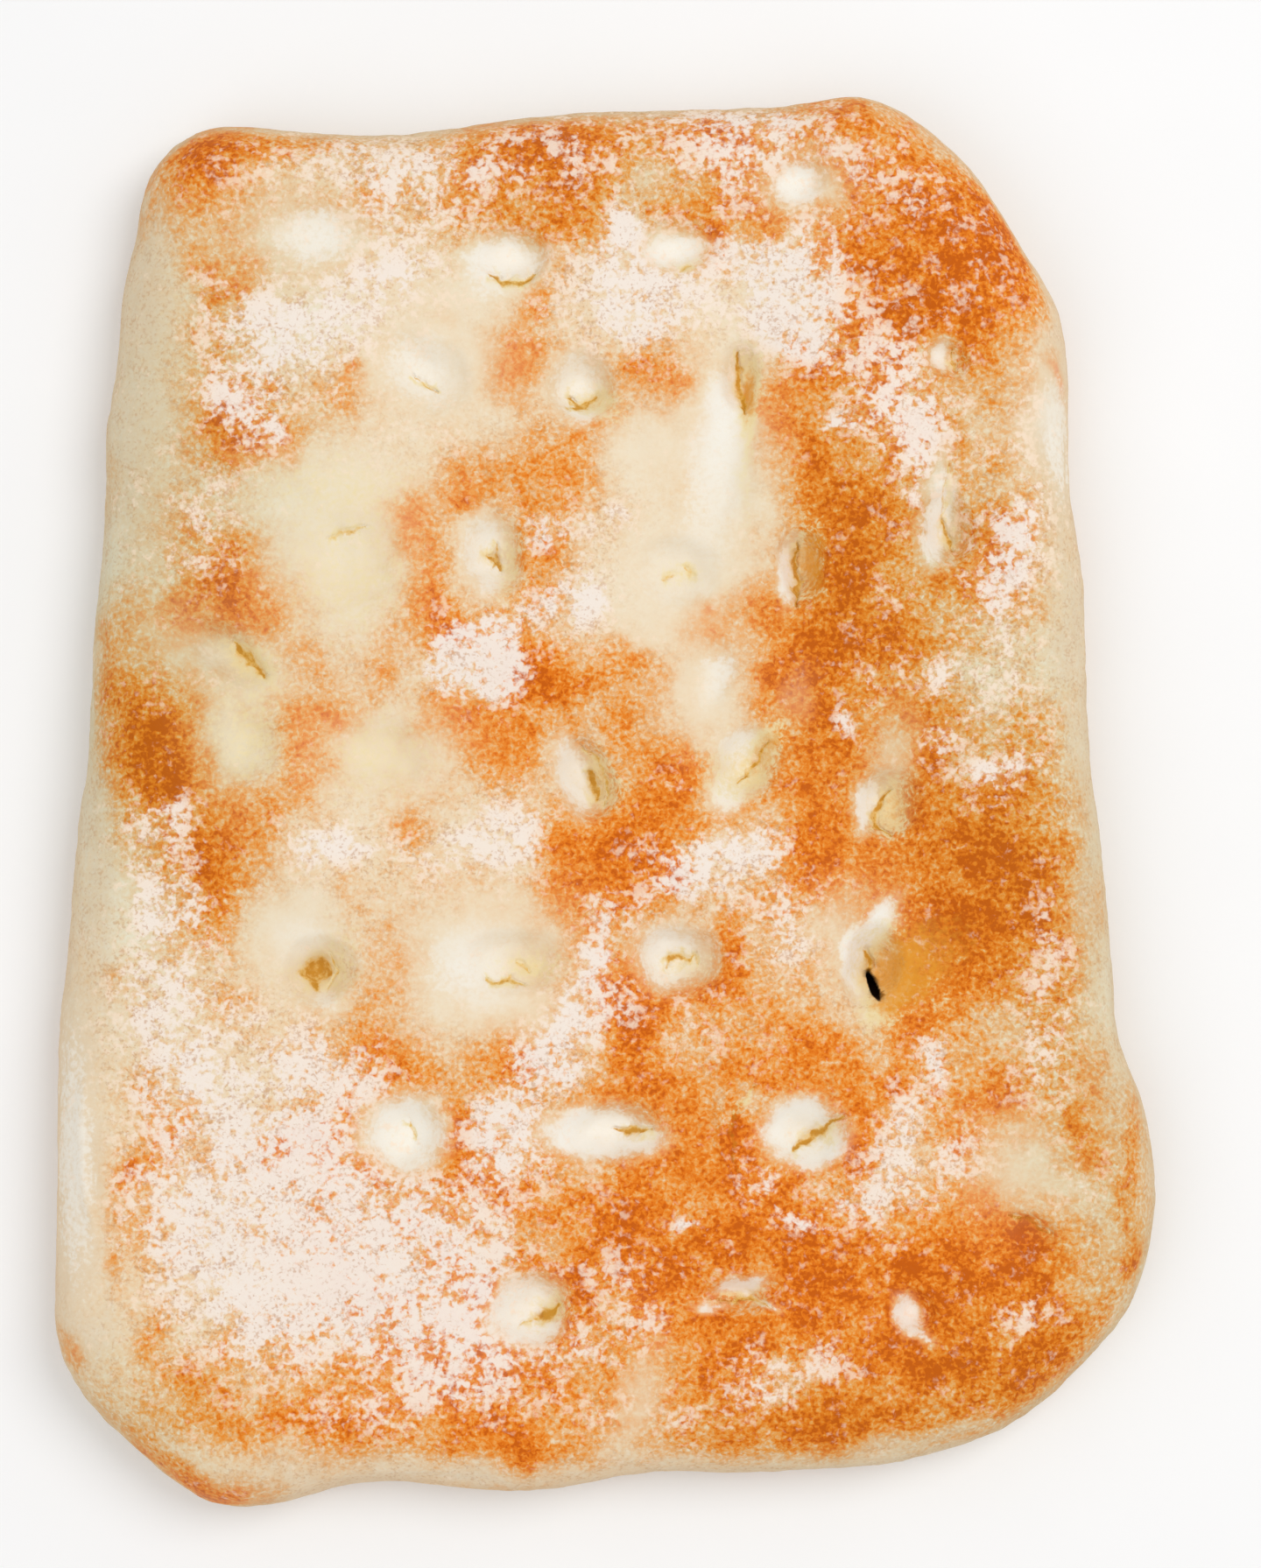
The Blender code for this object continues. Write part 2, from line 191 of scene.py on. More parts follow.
# Where the oven browned the crust
BROWNED = (
    (-91, 145, 8, 9, 0.75), (-75, 148.5, 15, 4, 0.65), (-89, 118, 5, 8, 10, 0.55), (-81, 121, 3, 4, 0.5),
    (-95, 105, 4, 3, 0.3), (-84, 81, 9, 6, -20, 0.75), (-73, 79, 4, 4, 0.6), (-80, 90, 5, 5, 0.45),
    (-74, 94, 2, 2, 0.5), (-57, 97, 4, 4, 0.5), (-62, 136, 2.5, 2.5, 0.4), (-52, 137, 5, 4, 0.5),
    (-85, 58, 6, 5, 0.5), (-20, 148, 20, 8, 0.85), (-10, 140, 9, 14, 0.8), (-28, 138, 12, 7, 0.6),
    (-7, 132, 7, 6, 0.65), (15, 150, 22, 8, 0.55), (22, 155, 8, 4, 0.6), (17, 134, 9, 3, 0.65),
    (25, 129, 3.5, 5, -10, 1), (36, 132, 6, 4, 0.75), (-20, 98, 7, 9, 0.92), (8, 95, 8, 6, 0.9),
    (14, 98, 8, 6, 0.65), (-3, 84, 7, 5, 20, 0.7), (-25, 73, 8, 7, 0.65), (-33, 68, 4, 4, 0.75),
    (-12, 76, 12, 8, 0.6), (-15, 64, 8, 6, 0.5), (-43, 60, 6, 9, 15, 0.8), (-36, 107, 3, 3, 0.3),
    (-16, 112, 3, 4, 30, 0.55), (37, 86, 5, 8, -10, 0.75), (52, 157, 8, 5, 0.9), (57, 152, 5, 7, 10, 0.9),
    (66, 143, 8, 5, 0.7), (67, 131, 12, 9, 30, 0.95), (77, 124, 13, 11, 0.88), (88, 129, 8, 8, 0.82),
    (92, 120, 6, 8, 0.85), (75, 112, 12, 6, 0.9), (62, 120, 9, 10, 0.95), (85, 103, 4, 8, 0.85),
    (66, 106, 7, 5, 0.6), (74, 155, 5, 2.5, -35, 0.5), (94, 99, 6, 5, 0.2), (45, 95, 6, 6, 0.75),
    (60, 97, 8, 8, 0.6), (63, 83, 9, 7, 0.55), (49, 75, 8, 11, 20, 0.95), (56, 62, 8, 12, 15, 1),
    (79, 80, 6, 10, 0.4), (90, 60, 6, 6, 0.55), (-87, 49, 7, 5, 0.9), (-79, 43, 8, 7, -20, 0.6),
    (-97, 42, 5, 4, 20, 0.65), (-103, 11, 9, 12, 1), (-98, 2, 8, 7, 0.95), (-104, 21, 5, 5, 0.5),
    (-62, 17.5, 6, 4, 0.75), (-69, 18, 3, 3, 0.65), (-69, 10, 3.5, 2.5, 0.6), (-67, 3, 4, 6, 20, 0.5),
    (-82, -10, 8, 8, 0.65), (-91, -16, 4, 9, 10, 0.8), (-88, -25, 6, 6, 0.55), (-88, -32, 4, 3, 0.45),
    (-79, 0, 7, 4, 15, 0.35), (-50, 30, 3, 6, 0.4), (-46, -7, 4, 4, 0.6), (-57, -24, 2.5, 6, 0.35),
    (-49, -38, 6, 8, 0.4), (-55, -47, 8, 5, 15, 0.5), (-113, -41, 3, 3, 0.3), (-86, -46, 7, 3, 0.35),
    (-38, 45, 5, 9, 10, 0.85), (-33, 38, 4, 5, 0.75), (-15, 55, 7, 4, 0.6), (-15, 47, 8, 6, 0.5),
    (-17, 26, 8, 6, 0.9), (-3, 27, 12, 6, 0.65), (8, 28, 7, 5, 0.3), (-28, 15, 9, 6, 0.55),
    (-19, 10, 5.5, 8, -10, 0.8), (-34, 18, 7, 4, 0.5), (5, 14, 6, 6, 0.8), (14, 4, 8, 8, 0.65),
    (7, -4, 7, 7, 0.68), (-10, -12, 6, 6, 0.75), (5, -14, 9, 8, 0.85), (-9, -24, 7, 11, 0.8),
    (2, -19, 9, 6, 0.75), (13, -15, 3, 8, 0.8), (-7, 13, 3, 6, 20, 0.5), (25, 40, 6.5, 5.5, 0.92),
    (37, 42, 9, 6, 0.8), (36, 24, 5, 9, -15, 0.75), (34, -2.5, 7, 2.5, 25, 0.8), (28, -36, 2.5, 6, 0.75),
    (24, -44, 8, 4, 28, 0.8), (14, -47.5, 7, 3, 0.6), (2, -44, 5, 8, 0.65), (6, -52, 6, 9, 0.8),
    (33, -26, 8, 4, 15, 0.2), (23, -7, 8, 3, 10, 0.5), (-45, -38, 4, 6, 0.35), (56, 50, 8, 10, 1),
    (53, 40, 8, 8, 1), (46, 34, 9, 8, 30, 0.95), (55, 32, 5, 4, 1.1), (42, 24, 8, 7, 0.8),
    (51, 20, 3.5, 9, 0.85), (74, 45, 6, 4, 0.65), (82, 47, 3, 4, 0.6), (68, 38, 9, 8, 0.6),
    (44, 5, 8, 9, 0.85), (49, -9, 6, 12, 0.82), (41, -10, 5, 5, 0.45), (54, 8, 3, 5, 0.75),
    (75, 5, 4, 9, 10, 0.85), (71, -6, 4, 5, 0.65), (62, -13.5, 8, 3.5, 0.75), (82, -14, 11, 10, 1),
    (84, -24, 10, 9, 1), (93, -16, 8, 8, 0.75), (95, -22, 5, 3, -20, 0.4), (90, -3, 6, 5, 0.65),
    (85, -35, 8, 8, 0.7), (79, -46, 8, 8, 0.7), (70, -33, 7, 5, 30, 0.45), (98, 12, 6, 9, 0.3),
    (103, -6, 4, 13, 0.3), (66, 22, 5, 5, 0.5), (84, 33, 4, 4, 0.4), (98, 42, 5, 8, 0.25),
    (79, -31, 8, 8, 0.95), (-50, -56, 9, 5, 0.5), (-46, -63, 5, 5, 0.4), (-60, -73, 3.5, 4.5, 0.65),
    (-62, -84, 3.5, 4, 0.8), (-54, -84, 4, 2.5, -40, 0.65), (-105, -65, 4, 5, 0.35),
    (-101, -74, 4, 6, 0.65), (-105, -85, 5, 4, 20, 0.65), (-95, -74, 3, 4, 0.45),
    (-111, -107, 2.5, 5, -15, 0.55), (-100, -122, 3, 5, 0.55), (-93, -132, 6, 5, 0.5),
    (-86, -136, 6, 3, -40, 0.45), (-84, -125, 3, 3, 0.45), (-66, -141, 12, 5, 0.75),
    (-55, -146, 7, 4, 0.55), (-56, -129, 5, 4, 0.35), (-47, -113, 3, 3, 0.55), (-48, -128, 4, 3, 0.3),
    (-38, -65, 6, 3, 0.45), (-22, -62, 8, 7, 0.5), (-34, -75, 3, 7, 0.85), (-31, -85, 4, 6, 20, 0.9),
    (-25, -91, 8, 3.5, -15, 0.5), (-16, -95, 8, 4, 0.6), (-5, -93, 6, 4, 0.75), (8, -91, 9, 8, 0.9),
    (5, -98, 6, 5, 0.8), (14, -83, 4, 5, 0.7), (5, -58, 5, 9, -20, 0.8), (12, -66, 7, 5, 0.65),
    (20, -73, 6, 8, 0.38), (22, -86, 6, 7, 0.32), (15, -104, 9, 7, 1), (12, -113, 5, 5, 0.95),
    (28, -101, 9, 7, 0.9), (5, -104, 8, 5, 0.5), (-10, -103, 8, 4, 0.3), (-6.5, -113, 3.5, 7, 0.8),
    (-13, -107.5, 5, 2, -25, 0.75), (20, -121, 10, 5, 0.85), (33, -124, 8, 6, 1.05), (21, -132, 9, 7, 0.6),
    (-20, -145, 13, 5, 0.85), (-12, -149, 9, 3, 0.95), (-38, -147, 11, 3, 0.3), (-8, -137, 6, 5, 0.55),
    (-30, -138, 10, 5, 0.25), (0, -145, 6, 5, 0.2), (20, -144, 9, 4, 0.45), (33, -142, 7, 5, 0.6),
    (-36, -134, 5, 3, 15, 0.25), (-45, -146, 6, 4, 0.42), (35, -62, 6, 3, 25, 0.75), (45, -57, 12, 5, 0.7),
    (38, -64, 6, 3, 0.75), (55, -65, 3, 5, 0.75), (56, -80, 3, 5, 0.85), (44, -90, 4, 7, -10, 1),
    (46, -102, 12, 7, 0.95), (52, -111, 10, 9, 0.95), (44, -118, 8, 7, 0.85), (67, -107, 6, 4, 0.9),
    (67, -125, 5, 4, 1), (74, -130, 8, 4, 0.9), (80, -112, 8, 9, 0.7), (85, -104, 7, 7, 20, 0.75),
    (92, -104, 7, 6, 1), (90, -113, 8, 7, 0.85), (83, -125, 5, 10, 0.95), (93, -132, 10, 7, 20, 0.95),
    (102, -122, 7, 9, 0.75), (65, -140, 7, 5, 1), (52, -138, 5.5, 9, 0.9), (46, -144, 8, 4, 0.85),
    (82, -138, 9, 4, 10, 0.8), (86, -93, 4, 5, 0.75), (80, -80, 4, 6, 0.45), (89, -66, 3.5, 4, 0.55),
    (76, -54, 6, 4, 0.65), (68, -55, 6, 4, 0.6), (66, -65, 4, 2.5, 0.65), (106, -76, 2.5, 4, 0.7),
    (111, -79, 3.5, 7, 0.55), (112, -64, 3, 7, 0.4), (113, -113, 4, 8, -15, 0.45), (75, -100, 12, 5, 0.45),
    (29.8, -76, 12, 1.3, 88, 0.9), (95.5, -99, 5, 2.5, -20, 1), (62, -127, 12, 6, 0.7),
    (60, -18, 8, 6, 0.65), (33, -80, 4, 8, 0.6), (-24, -127, 5, 3, 0.45), (27, 121, 4, 4, 0.5),
    (76, -38, 10, 9, 40, 0.8), (-63, 88, 5, 4, 0.4), (-84, 119, 5, 7, 0.4), (40, 82, 5, 8, 0.5),
    (42, -139, 7, 5, 0.4), (80, -2, 6, 6, 0.5),
)

# Broad tints between the browned spots
TINTS = (
    (54, -110, 58, 42, 0.56), (52, 32, 17, 58, 0.5), (81, -22, 15, 22, 0.6), (78, 48, 16, 50, 0.42),
    (78, 122, 26, 26, 0.52), (8, 147, 52, 14, 0.48), (-92, 140, 18, 18, 0.5), (-88, 75, 18, 46, 0.3),
    (-12, 8, 36, 32, 0.32), (-20, 80, 30, 22, 0.22), (-45, -138, 50, 12, 0.24), (-88, -10, 18, 30, 0.28),
    (-35, -62, 34, 24, 0.2), (15, -55, 24, 26, 0.34), (-50, 125, 40, 18, 0.16), (110, -84, 12, 34, 0.2),
    (-68, -98, 38, 36, 0.34), (-108, -90, 12, 50, 0.14), (96, 8, 10, 36, 0.26), (-103, 10, 10, 20, 0.6),
    (-38, -112, 28, 20, 0.4), (40, 128, 40, 20, 0.26), (-58, 24, 14, 9, 0.36), (-20, 38, 10, 8, 0.3),
    (80, -60, 14, 12, 0.5), (100, -58, 8, 14, 0.2), (38, -141, 14, 7, 0.4), (-25, -140, 20, 8, 0.3),
    (-100, 42, 9, 12, 0.45), (-82, 42, 12, 10, 0.35), (-100, 62, 9, 12, 0.32), (104, -36, 7, 16, 0.34),
    (-24, -122, 14, 9, 0.25), (-64, 86, 9, 7, 0.22), (92, 60, 8, 16, 0.4), (-84, 88, 12, 10, 0.3),
    (-42, 40, 7, 8, 0.3), (80, 38, 8, 8, 0.3), (-80, -140, 10, 6, 0.25), (-66, 2, 7, 6, 0.2),
    (-42, 2, 8, 7, 0.22), (-104, -100, 8, 12, 0.25), (-60, -80, 9, 8, 0.48), (-18, -86, 9, 8, 0.34),
)

# Browning on the rim and sides, which are otherwise pale
RIM_BROWNED = (
    (-107.5, 136, 2.2, 7, 12, 0.75), (-104, 144, 6, 2.5, 52, 0.55), (-114, 34, 3.5, 6, 10, 0.55),
    (-113, 72, 4, 9, 0.25), (-122.5, -126, 3, 6, 20, 0.55), (-105, -149, 13, 4, -38, 0.66),
    (-91, -158, 13, 4.2, 5, 1), (-95, -152, 10, 3, -30, 0.4), (-110, -136, 10, 12, 0.22),
    (102.5, 95, 1.6, 6, 25, 0.75), (118, -84, 2.2, 13, -6, 0.5), (116, -105, 1.8, 4.5, 0.65),
    (107, -130, 9, 5, 48, 0.45), (-25, -157, 16, 1.5, 0.4), (52, 160, 7, 3, 0.8), (76, 154, 6, 2, -38, 0.4),
    (92, 134, 5, 3, -50, 0.5), (75, -147, 14, 2, 8, 0.3), (-88, 153, 9, 2.5, 0.7),
    (119, -90, 9, 36, -4, 0.4), (-27, 154.5, 9, 3, 0.62), (94, -142, 16, 7, 25, 0.42),
    (107, 0, 4, 12, 0.36),
)

# Where flour was thrown on the dough
FLOURED = (
    (5, 148, 50, 12, 0.5), (22, 156.5, 32, 2.2, 0.6), (4, 115, 13, 13, 0.85), (20, 113, 12, 10, 0.5),
    (40, 113, 14, 10, 0.9), (45, 105, 9, 7, 0.8), (4, 128, 6, 6, 0.85), (38, 123, 12, 6, 0.75),
    (50, 121, 7, 12, 0.2), (68, 138, 14, 10, 0.35), (68, 94, 12, 9, 0.42), (70, 84, 13, 9, 0.6),
    (55, 85, 5, 2, 0.9), (95, 68, 8, 12, 0.7), (92, 56, 8, 8, 0.7), (-65, 110, 15, 8, 0.75),
    (-72, 101, 10, 8, 0.62), (-46, 118, 10, 9, 0.7), (-38, 142, 12, 7, 0.5), (-60, 146, 16, 5, 0.42),
    (-84, 88, 8, 6, 0.55), (-77, 82, 4, 5, 0.55), (-92, 64, 14, 11, 0.55), (-97, 51, 9, 6, 0.5),
    (-3, 45, 7.5, 9, 1), (-13, 42, 7, 6, 0.7), (-28, 36, 9, 7, 0.9), (-35, 27, 10, 6, 0.85),
    (-25, 26, 6, 5, 0.85), (-14, 59, 6, 5, 0.75), (2, 62, 6, 5, 0.6), (-105, -10, 10, 8, 0.55),
    (-97, -5, 6, 5, 0.6), (-101, -25, 10, 10, 0.65), (-98, -45, 15, 14, 0.55), (-93, -62, 17, 14, 0.62),
    (-62, -12, 11, 7, 0.9), (-20, -8, 9, 10, 0.75), (-35, -13, 10, 8, 0.6), (22, -17, 10, 8, 0.8),
    (32, -12, 7, 7, 0.8), (14, -21, 8, 5, 0.6), (42, -22, 9, 8, 0.35), (43, -34, 11, 9, 0.6),
    (-3, -38, 8, 9, 0.85), (-9, -52, 10, 8, 1.05), (2, -26, 6, 4, 0.6), (84, 5, 6, 5, 0.75),
    (92, 7, 6, 5, 0.45), (84, 22, 8, 7, 0.35), (76, 27, 7, 6, 0.6), (62, 26, 6, 6, 0.45),
    (66, 44, 8, 8, 0.35), (87, 42, 7, 9, 0.5), (55, 16, 3, 4, 0.7), (-76, -75, 24, 20, 0.6),
    (-70, -100, 25, 16, 0.9), (-75, -113, 20, 11, 0.92), (-42, -98, 13, 12, 0.5), (-32, -109, 14, 9, 0.55),
    (-45, -120, 18, 9, 0.55), (-27, -120, 10, 9, 0.5), (-17, -78, 8, 8, 0.58), (-24, -72, 8, 6, 0.65),
    (-12, -62, 7, 6, 0.9), (-24, -80, 6, 6, 0.7), (67, -76, 7, 11, 0.7), (62, -88, 13, 7, 0.62),
    (75, -61, 3.5, 7, 0.85), (52, -93, 8, 4, 0.5), (39, -88, 4, 6, 0.4), (98, -59, 9, 12, 0.5),
    (106, -89, 7, 6, 0.5), (37, -134, 8, 5, 0.6), (10, -117, 7, 7, 0.42), (-8, -124, 11, 6, 0.4),
    (-15, -137, 8, 5, 0.15), (45, -128, 14, 5, 0.55), (93, -119, 8, 6, 0.55), (79, -135, 9, 3, 0.2),
    (17, -96, 5, 0.9, 20, 0.95), (44, -97.5, 4, 1.2, -10, 0.9), (35, -85, 5, 10, 0.28),
    (62, -101, 11, 7, 0.28), (81, 118, 15, 14, 0.26), (20, -55, 9, 8, 0.42), (-30, -133, 16, 9, 0.36),
    (-105, 30, 8, 12, 0.25), (75, 13, 5, 4, 0.55), (32, 155, 12, 4, 0.6), (75, 72, 6, 8, 0.7),
    (80, -84, 5, 9, 0.35), (84, -3, 9, 4, 0.3), (-90, -95, 14, 12, 0.6), (40, 140, 20, 9, 0.35),
    (-50, 136, 20, 10, 0.35), (15, 110, 60, 20, 0.14), (-38, 80, 12, 9, 0.3), (100, 88, 5, 11, 0.85),
    (74, 70, 20, 36, 0.1), (-60, -100, 44, 36, 0.32), (20, -125, 60, 18, 0.06), (-60, -138, 26, 8, 0.25),
    (-70, 140, 24, 12, 0.26), (-85, 108, 15, 24, 0.4), (-52, 112, 28, 16, 0.25), (93, 30, 9, 16, 0.5),
    (60, 100, 12, 9, 0.25), (-30, -11, 14, 8, 0.35), (-62, -62, 13, 10, 0.4), (0, -112, 9, 15, 0.22),
    (82, -80, 10, 9, 0.36), (18, -140, 14, 6, 0.35), (-50, -140, 17, 5, 0.18), (40, 147, 15, 8, 0.34),
    (22, -105, 16, 10, 0.22), (-60, 88, 16, 8, 0.3), (100, -20, 6, 40, 0.22), (42, -58, 9, 6, 0.25),
    (-3, -85, 8, 5, 0.3), (-20, -98, 10, 8, 0.3), (20, -44, 8, 6, 0.3), (100, -38, 7, 12, 0.25),
    (14, 2, 7, 5, 0.25), (70, 58, 12, 30, 0.08), (0, -139, 9, 5, 0.34), (-56, -104, 9, 8, 0.3),
)

# Smooth pale dough between the dimples
SMOOTH = (
    (-60, 56, 14, 17, 0.95), (27, 76, 8, 26, 0.95), (16, 51, 12, 11, 0.95), (-88, 31, 14, 7, -25, 0.8),
    (-51, 9, 14, 10, 0.9), (-38, 97, 15, 12, 0.85), (-70, 127, 14, 9, 0.75), (-70, -32, 8, 12, 0.9),
    (-28, -34, 15, 11, 0.95), (22, 23, 7, 11, 0.9), (45, 139, 8, 6, 0.8), (76.5, 72, 3, 8, 0.8),
    (13, 78, 10, 10, 0.7), (-84, 14, 6, 12, 0.85), (-60, 72, 18, 6, 0.6), (90, -83, 8, 10, 0.5),
    (98, -88, 8, 6, 0.5), (54, -30, 7, 8, 0.5), (-33, 112, 10, 6, 0.5), (7, -137, 3, 12, -15, 0.6),
    (65, 8, 4, 8, 0.6), (44, 23, 3, 5, 0.3), (10, 38, 8, 5, 0.6), (-28, -48, 14, 6, 0.75),
    (101, 86, 6, 13, 0.85),
)

# Whitish dough in and round the dimples
WHITENED = (
    (-66, 127, 14, 10, 0.62), (-23, 122.5, 11, 5.5, 0.84), (-25, 115, 10, 5, 0.4),
    (15.5, 124, 8.5, 5, 0.86), (43.5, 139, 7, 5.5, 0.84), (-42, 97, 14, 11, -35, 0.62),
    (-6.5, 94, 7.5, 7, 0.76), (-5, 88, 5, 4, 0.7), (27, 88, 13, 5, 84, 0.6), (25, 72, 20, 10, 88, 0.55),
    (75.8, 99.5, 4.5, 2.8, 80, 0.78), (-60, 54, 10, 10, 0.4), (-27, 54.5, 10.5, 6.5, 95, 0.8),
    (15, 50, 11, 10, 0.5), (41.6, 50.5, 8.5, 2.6, 85, 0.84), (75, 59, 9, 4.5, 80, 0.8),
    (76, 70, 8, 3, 90, 0.5), (-90, 32, 9, 5, -20, 0.38), (25.5, 27, 9, 5.5, 65, 0.6),
    (-85, 13, 12, 6, 90, 0.42), (-52, 8, 11, 8, 0.35), (-7, 4, 10, 3.8, 110, 0.88),
    (29, 3, 10, 5, 65, 0.76), (31, 11, 6, 5, 0.6), (59.5, -2.5, 7, 3, 75, 0.86), (-68, -34, 10, 8, 0.5),
    (-63, -47, 7, 5, 0.5), (-29, -39, 16, 12, 0.64), (15, -37, 9, 8, 0.84), (61.5, -29.5, 8, 3.8, 60, 0.86),
    (56, -38.5, 8.5, 3.2, 98, 0.82), (43.5, -75, 8.5, 6.5, 25, 1), (49, -80.5, 7, 4, 25, 0.78),
    (-45.5, -77, 9.5, 9, 1), (-3, -76.5, 12, 6, 1), (7, -78.5, 7, 3.6, 0.66), (-19, -115, 9, 6.5, 30, 0.85),
    (-17, -121, 8, 4, 0.7), (31, -110.6, 6.5, 2, 14, 0.84), (23.5, -115.6, 5, 1.3, -5, 0.68),
    (36, -115.4, 4.5, 1, -30, 0.68), (68, -116.5, 4.6, 3.2, 110, 0.8), (71.5, -122.5, 4, 1.6, -40, 0.48),
    (106, -89, 6, 5, 0.42), (95, -89, 6, 4, 0.3), (-120, -82, 46, 8, 92, 0.58),
    (101, 87, 13, 5.5, 90, 0.42), (104, 74, 18, 4.5, 90, 0.46),
)

# Painted warm shade: yellowish colour on the shaded walls of dimples and round creases, with a few patches
# of yellowish dough
PAINTED_WARM_SHADE = (
    (-2, 90, 5, 4, 0.55), (32.8, 91.5, 8, 2.4, 88, 0.9), (81.4, 98.6, 3, 2.6, 0.6), (-57, 50, 15, 14, 0.24),
    (-21.5, 53, 9, 3.4, 90, 0.3), (47, 52.5, 9.5, 3.6, 90, 0.97), (-81, 31, 6, 3, -42, 0.6),
    (-80, 14, 13, 11, 90, 0.24), (0.4, 3, 7.5, 3, 108, 0.6), (37.4, 12, 5.5, 3, 60, 0.75),
    (34, 6, 6, 3, 60, 0.35), (66, -3, 8, 4.5, 80, 0.6), (-65.4, -39.8, 5, 4.4, 0.5),
    (-59.5, -39, 9, 3.6, 90, 0.25), (-17, -39, 7, 3.6, 0.4), (19, -38.5, 5, 3.6, 0.3),
    (67, -38.5, 9, 7, 62, 0.95), (77, -35, 14, 10, 50, 0.6), (66, -45.5, 7, 4.5, 50, 0.92),
    (51, -77.6, 5, 2.4, 32, 0.25), (8, -77.4, 5, 2.2, 0.35), (-11, -116.6, 4, 3, 0.5),
    (36, -112.6, 4, 2.6, 0.4), (17, 50.5, 5, 3, 0.3), (80, 60, 8, 2.6, 85, 0.2),
    (31.5, 76, 14, 1.6, 88, 0.25), (-21, 117.4, 5, 1.8, 0.35), (19, 120.5, 4, 2, 30, 0.3),
    (-51, 9, 13, 10, 0.24), (-60, 70, 16, 7, 0.2), (28, 4, 8, 6, 0.3),
)

# Pale flanks that reach up over the shoulder, their dough drawn darker there partly as painted shade
PALE_FLANKS = (
    (-122, -80, 8, 42, 1), (103.5, 78, 6, 22, 1), (107, 40, 6, 18, 0.8), (111, -10, 5, 40, 0.8),
    (-106, 112, 9, 24, 0.85), (-117, 5, 4.5, 30, 0.7), (0, 157, 70, 2.5, 0.6), (-10, -155, 60, 3, 0.6),
    (65, -148, 30, 3, 10, 0.5), (104, 100, 4, 14, 0.9), (78, 150, 14, 3.5, -40, 0.4),
    (-75, -154, 20, 4, 5, 0.5), (118, -60, 5, 18, -10, 0.6), (-114, -123, 9, 6, 0.6),
    (110, -98, 7, 14, 0.3), (-106, 76, 10, 32, 0.85), (-115, -22, 4, 20, 0.6),
)

# Crust that is more tan than orange towards the edges: partly tan crust, partly painted falloff of light
TAN_AND_EDGE_SHADE = (
    (-102, 20, 20, 56, 0.85), (-88, 95, 22, 44, 0.55), (68, 52, 24, 52, 0.6), (92, 2, 18, 44, 0.6),
    (104, -55, 14, 50, 0.5), (92, -132, 24, 18, 0.45), (-104, -140, 22, 18, 0.45), (-10, 140, 60, 16, 0.4),
    (50, -140, 30, 12, 0.4), (116, -95, 12, 30, 0.5),
)

FULL_PATCH, FLOUR_HARDNESS, TINT_HARDNESS = 0.98, 0.75, 0.6

# How the marks build up: strengths as shares, ranges as the two ends between which a mark sets in,
# and for clouded values the mean and the swing
CLOUD_SIZE, CLOUD_FADE = 16.0, 0.55
TINT_CLOUD, SPOT_CLOUD = (0.85, 0.5), (0.9, 0.35)
LEAST_BROWNING, FOOT_BROWNING, FLOUR_CLOUD = (0.13, 0.10), (0.34, 0.3), (-0.05, 0.12)
SPOT_BROWNING, FLOUR_LOT = 0.88, 0.92
PATCH_EDGE, PATCH_EDGE_RANGE = 0.12, (0.12, 0.80)
FOOT_BROWNED, FLANK_HEIGHTS, SHOULDER_HEIGHTS = (8.0, 0.5), (23.5, 13.0), (29.0, 24.0)
UPRIGHT_RANGE, UPRIGHT_LOSES, UPRIGHT_STAYS_PALE = (0.42, 0.08), 0.85, 0.7
SMOOTH_STAYS_PALE, FLANK_STAYS_PALE = 0.72, 0.60
SMOOTH_SHEDS_FLOUR, FLANK_SHEDS_FLOUR = 0.8, 0.5
WHITE_SMOOTHNESS, WHITE_SMOOTH_RANGE, PATCH_SMOOTHNESS = 0.6, (0.15, 0.62), 0.9
LINE_LEAST, LINE_BY_DEPTH, FRINGE_SHADE = 0.3, 0.65, 0.42
PUCKER_CREASE_SHARE, PUCKER_RAGGEDNESS, PUCKER_EDGE = 0.9, 0.9, (0.6, 1.4)
TORN_EDGE = (1.2, 0.85)
MARK_LIMITS = (-0.5, 1.5)

# Dough colours, from unbaked to dark: position on the scale of browning, then linear colour
BAKING_SCALE = (
    (0.00, (0.87, 0.78, 0.61)),
    (0.15, (0.84, 0.64, 0.415)),
    (0.34, (0.82, 0.46, 0.205)),
    (0.52, (0.84, 0.350, 0.078)),
    (0.70, (0.82, 0.235, 0.018)),
    (0.86, (0.74, 0.165, 0.006)),
    (1.00, (0.58, 0.110, 0.003)),
)
SMOOTH_DOUGH = (0.87, 0.755, 0.57, 1.0)
WHITE_DOUGH = (0.90, 0.868, 0.79, 1.0)
# Painted warm shade on the shaded walls of the dimples: pale straw, and deep gold where it is strongest
PAINTED_SHADE_STRAW = (0.84, 0.70, 0.38, 1.0)
PAINTED_SHADE_GOLD = (0.77, 0.325, 0.030, 1.0)
# Painted light and shade in the creases: a warm ochre glow of bounced light, and darker brown shade at
# their cores and on browned crust
CREASE_PAINTED_GLOW = (0.75, 0.42, 0.035, 1.0)
CREASE_PAINTED_SHADE = (0.46, 0.15, 0.006, 1.0)
# Painted shadow inside the gap torn open in the deepest dimple
TEAR_PAINTED_SHADOW = (0.012, 0.005, 0.002, 1.0)
FLOUR_WHITE = (0.905, 0.815, 0.735, 1.0)
THIN_FLOUR = (0.95, 0.76, 0.58, 1.0)
# Flank dough darker than the top's, partly as painted shade on the sides
FLANK_DOUGH_AND_SHADE = (0.70, 0.50, 0.31, 1.0)
